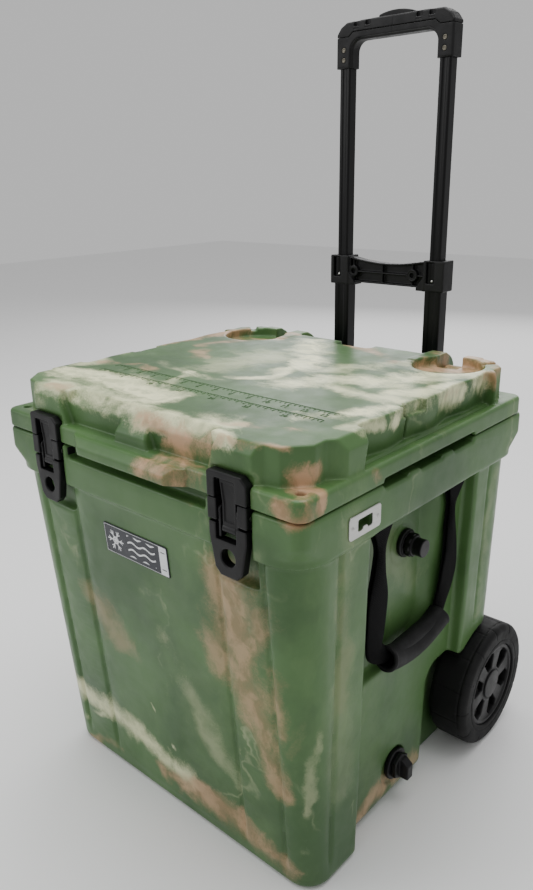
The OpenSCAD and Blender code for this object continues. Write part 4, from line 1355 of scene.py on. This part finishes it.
def badge_print_field(x, y, z):
    """Pale print on the badge: a border, a snow crystal, three waves and a plain panel."""
    inside = both(span(x, BADGE[0] + 1, BADGE[1] - 1), span(z, BADGE[2] + 1, BADGE[3] - 1), 1.5)
    border = np.maximum(inside, -inside - 0.8)
    u, v = x + 43, z - 366.5
    r = np.hypot(u, v)
    turn = one_sixth(np.arctan2(v, u))
    p, q = r * np.cos(turn), np.abs(r * np.sin(turn))
    arm = both(q - 0.9, p - 13.5)
    twig = both(np.abs(q - (p - 7) * 0.7) - 0.8, span(p, 7, 11.5))
    heart = np.maximum(p - 4.6, 2.8 - p)
    crystal = np.minimum(np.minimum(arm, twig), heart)
    waves = np.abs((z - 366.5 - 1.6 * np.sin((x + 20) / 3.4)) % 9 - 4.5) - 1.2
    waves = both(waves, both(span(x, -22, 24), span(z, 353.5, 380)))
    panel = both(x - 43, 31 - x)
    panel = both(panel, span(z, 349.2, 383.8))
    line = np.minimum(np.abs(z - 356) - 0.5, np.abs(z - 377) - 0.5)
    panel = less(panel, both(line, span(x, 33.5, 40.5)))
    flat = np.minimum(np.minimum(border, crystal), np.minimum(waves, panel))
    return both(flat, span(front_height(y, z), 0.9, 1.45))


def make_fittings():
    shapes = (("vent_body", vent_body_field, VENT, 185, 198, "tub", "vent_body"),
              ("vent_cap", vent_cap_field, VENT, 195, 218, "vent_cap", "vent_cap"),
              ("drain_body", drain_body_field, DRAIN, 194, 203, "tub", "drain_body"),
              ("drain_plug", drain_plug_field, DRAIN, 200, 222, "drain_plug", "drain_plug"))
    for name, field, (cy, cz), near, far, body, node in shapes:
        moulded(name + "_moulding", field, (near, cy - 22, cz - 22), (far, cy + 22, cz + 22), 0.6, 0.4,
                body, "fitting_plastic", node)
    for name, field, step, node in (("lock_plate", lock_plate_field, 0.5, "lock_plates"),
                                    ("lock_screws", side_screw_field, 0.4, "lock_plate_screws")):
        both_sides(name + "_{}", field, (229, -153, 425), (233, -97, 453), step, 0.5, "tub", "steel",
                   node)
    low, high = (-64, -214, 346), (46, -206, 387)
    moulded("badge", badge_field, low, high, 0.6, 0.3, "tub", "badge", "badge_plate")
    motif = moulded("badge_print", badge_print_field, low, high, 0.45, 0.5, "tub", "badge")
    motif.data.materials.append(print_material())


def print_material():
    paint = Paint("badge_print", 0.4)
    paint.colour(paint.mix(paint.noise(80, 3), srgb(226, 228, 230), srgb(206, 208, 210)))
    return paint.material


# ---------------------------------------------------------------- ruler and gasket, with painted shade and painted shadow

RULER_Y, RULER_START = -118.7, -163.4
RULER_CM, RULER_WIDE, INCH = 34, 25, 25.4


def ruler_piece():
    """Raised ruler on the lid: centimetres along the front line, inches along the back one."""
    points, faces = [], []

    def bar(x0, x1, y0, y1):
        n = len(points)
        for z in (LID_TOP - 0.2, LID_TOP + 0.35):
            points.extend([(x0, y0, z), (x1, y0, z), (x1, y1, z), (x0, y1, z)])
        for quad in ((3, 2, 1, 0), (4, 5, 6, 7), (0, 1, 5, 4), (1, 2, 6, 5), (2, 3, 7, 6),
                     (3, 0, 4, 7)):
            faces.append(tuple(n + i for i in quad))

    def mark(x, y, length):
        bar(x - 0.35, x + 0.35, y - length, y)

    back = RULER_Y + RULER_WIDE
    end = RULER_START + 10 * RULER_CM
    bar(RULER_START, end, RULER_Y - 0.4, RULER_Y + 0.4)
    bar(RULER_START, end, back, back + 0.8)
    for half in range(2 * RULER_CM + 1):
        mark(RULER_START + 5 * half, RULER_Y, 7 if half % 2 == 0 else 4)
    for quarter in range(int(40 * RULER_CM / INCH) + 1):
        mark(RULER_START + INCH / 4 * quarter, back, 8 if quarter % 4 == 0 else 4.5)
    return mesh_object("ruler", points, faces, "lid", smooth=False)


def ruler_number(text, x, y, size):
    data = bpy.data.curves.new("number_" + text, "FONT")
    data.body = text
    data.size = size * MM * 1.4
    data.align_x = "CENTER"
    data.extrude = 0.0003
    number = bpy.data.objects.new("number", data)
    bpy.context.scene.collection.objects.link(number)
    number.location = (x * MM, y * MM, (LID_TOP + 0.05) * MM)
    bpy.context.view_layer.update()
    graph = bpy.context.evaluated_depsgraph_get()
    mesh = bpy.data.meshes.new_from_object(number.evaluated_get(graph))
    mesh.transform(number.matrix_world)
    bpy.data.objects.remove(number)
    return mesh


def make_ruler():
    ruler = ruler_piece()
    marks = [(str(cm), RULER_START + 10 * cm, RULER_Y - 15, 6) for cm in range(5, 35, 5)]
    marks += [(str(inch), RULER_START + INCH * inch, RULER_Y + 10, 7) for inch in range(1, 14)]
    joined = bmesh.new()
    joined.from_mesh(ruler.data)
    for text, x, y, size in marks:
        joined.from_mesh(ruler_number(text, x, y, size))
    joined.to_mesh(ruler.data)
    joined.free()
    ruler.data.update()
    # The ruler and its numbers are painted a darker green than the lid: painted shade for the shading
    # of the raised marks, which are moulded in the lid's own colour.
    paint = Paint("ruler_painted_shade", 0.5)
    paint.colour(paint.mix(paint.noise(40, 4), srgb(46, 78, 36), srgb(58, 92, 46)))
    ruler.data.materials.append(paint.material)
    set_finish(ruler, "lid_plastic")


def gasket_field(x, y, z):
    ax = np.abs(x)
    ring = both(both(ax - 177, span(y, -178, 174), 20), -both(ax - 167, span(y, -168, 164), 14), 1)
    ring = both(ring, span(z, 465.9, 470), 1)
    # Black strips in the lid's side lift gaps, wider than the real gasket: painted shadow in those
    # gaps.
    painted_shadow_strip = both(both(span(ax, 203, 222), span(y, -91, 91)), span(z, 465.9, 471.2), 1)
    return np.minimum(ring, painted_shadow_strip)


# The gasket piece is the real gasket ring joined with the painted shadow strips in the side lift gaps.
def make_gasket():
    moulded("gasket", gasket_field, (-224, -180, 464), (224, 176, 473), 1.2, 0.3, "lid",
            "gasket_rubber", "lid_gasket")


# ---------------------------------------------------------------- stage, lights and camera

LENS = 31.4
CAMERA_AT = (0.606, -0.682, 0.7516)
CAMERA_AIM = (-0.62886, 0.70314, -0.33184)
CAMERA_UP = (-0.20770, 0.25937, 0.94318)


def make_camera():
    data = bpy.data.cameras.new("camera")
    data.lens = LENS
    data.sensor_fit = "AUTO"
    data.sensor_width = 36
    camera = bpy.data.objects.new("camera", data)
    back = -Vector(CAMERA_AIM).normalized()
    up = (Vector(CAMERA_UP) - back * Vector(CAMERA_UP).dot(back)).normalized()
    right = up.cross(back)
    turn = Matrix((right, up, back)).transposed()
    camera.matrix_world = Matrix.Translation(CAMERA_AT) @ turn.to_4x4()
    bpy.context.scene.collection.objects.link(camera)
    bpy.context.scene.camera = camera


def make_light(name, place, aim, size, watts):
    data = bpy.data.lights.new(name, "AREA")
    data.shape = "RECTANGLE"
    data.size, data.size_y = size
    data.energy = watts
    light = bpy.data.objects.new(name, data)
    light.location = place
    light.rotation_euler = (Vector(aim) - Vector(place)).to_track_quat("-Z", "Y").to_euler()
    bpy.context.scene.collection.objects.link(light)


def make_stage():
    bpy.ops.mesh.primitive_plane_add(size=12)
    floor = bpy.context.object
    floor.name = "floor"
    mat = bpy.data.materials.new("floor")
    mat.use_nodes = True
    shader = mat.node_tree.nodes["Principled BSDF"]
    shader.inputs["Base Color"].default_value = (0.86, 0.86, 0.86, 1)
    shader.inputs["Roughness"].default_value = 0.9
    floor.data.materials.append(mat)
    world = bpy.data.worlds.new("studio")
    world.use_nodes = True
    world.node_tree.nodes["Background"].inputs["Color"].default_value = (1, 1, 1, 1)
    world.node_tree.nodes["Background"].inputs["Strength"].default_value = 0.6
    bpy.context.scene.world = world
    make_light("top", (-0.1, 0.1, 2.4), (0, 0, 0.4), (2.0, 2.0), 48)
    make_light("back", (-1.2, 2.9, 1.5), (0, 0, 0.5), (2.6, 1.8), 32)
    make_light("front_left", (-1.7, -1.9, 1.5), (0, 0, 0.35), (1.2, 1.6), 18)
    make_light("right", (2.4, 0.0, 1.0), (0.1, 0, 0.3), (0.5, 1.8), 2)


def main():
    make_camera()
    make_shells()
    make_ruler()
    make_gasket()
    make_latches()
    make_fittings()
    make_carry_handles()
    make_wheels()
    make_handle()
    dress(make_materials())
    make_stage()


main()
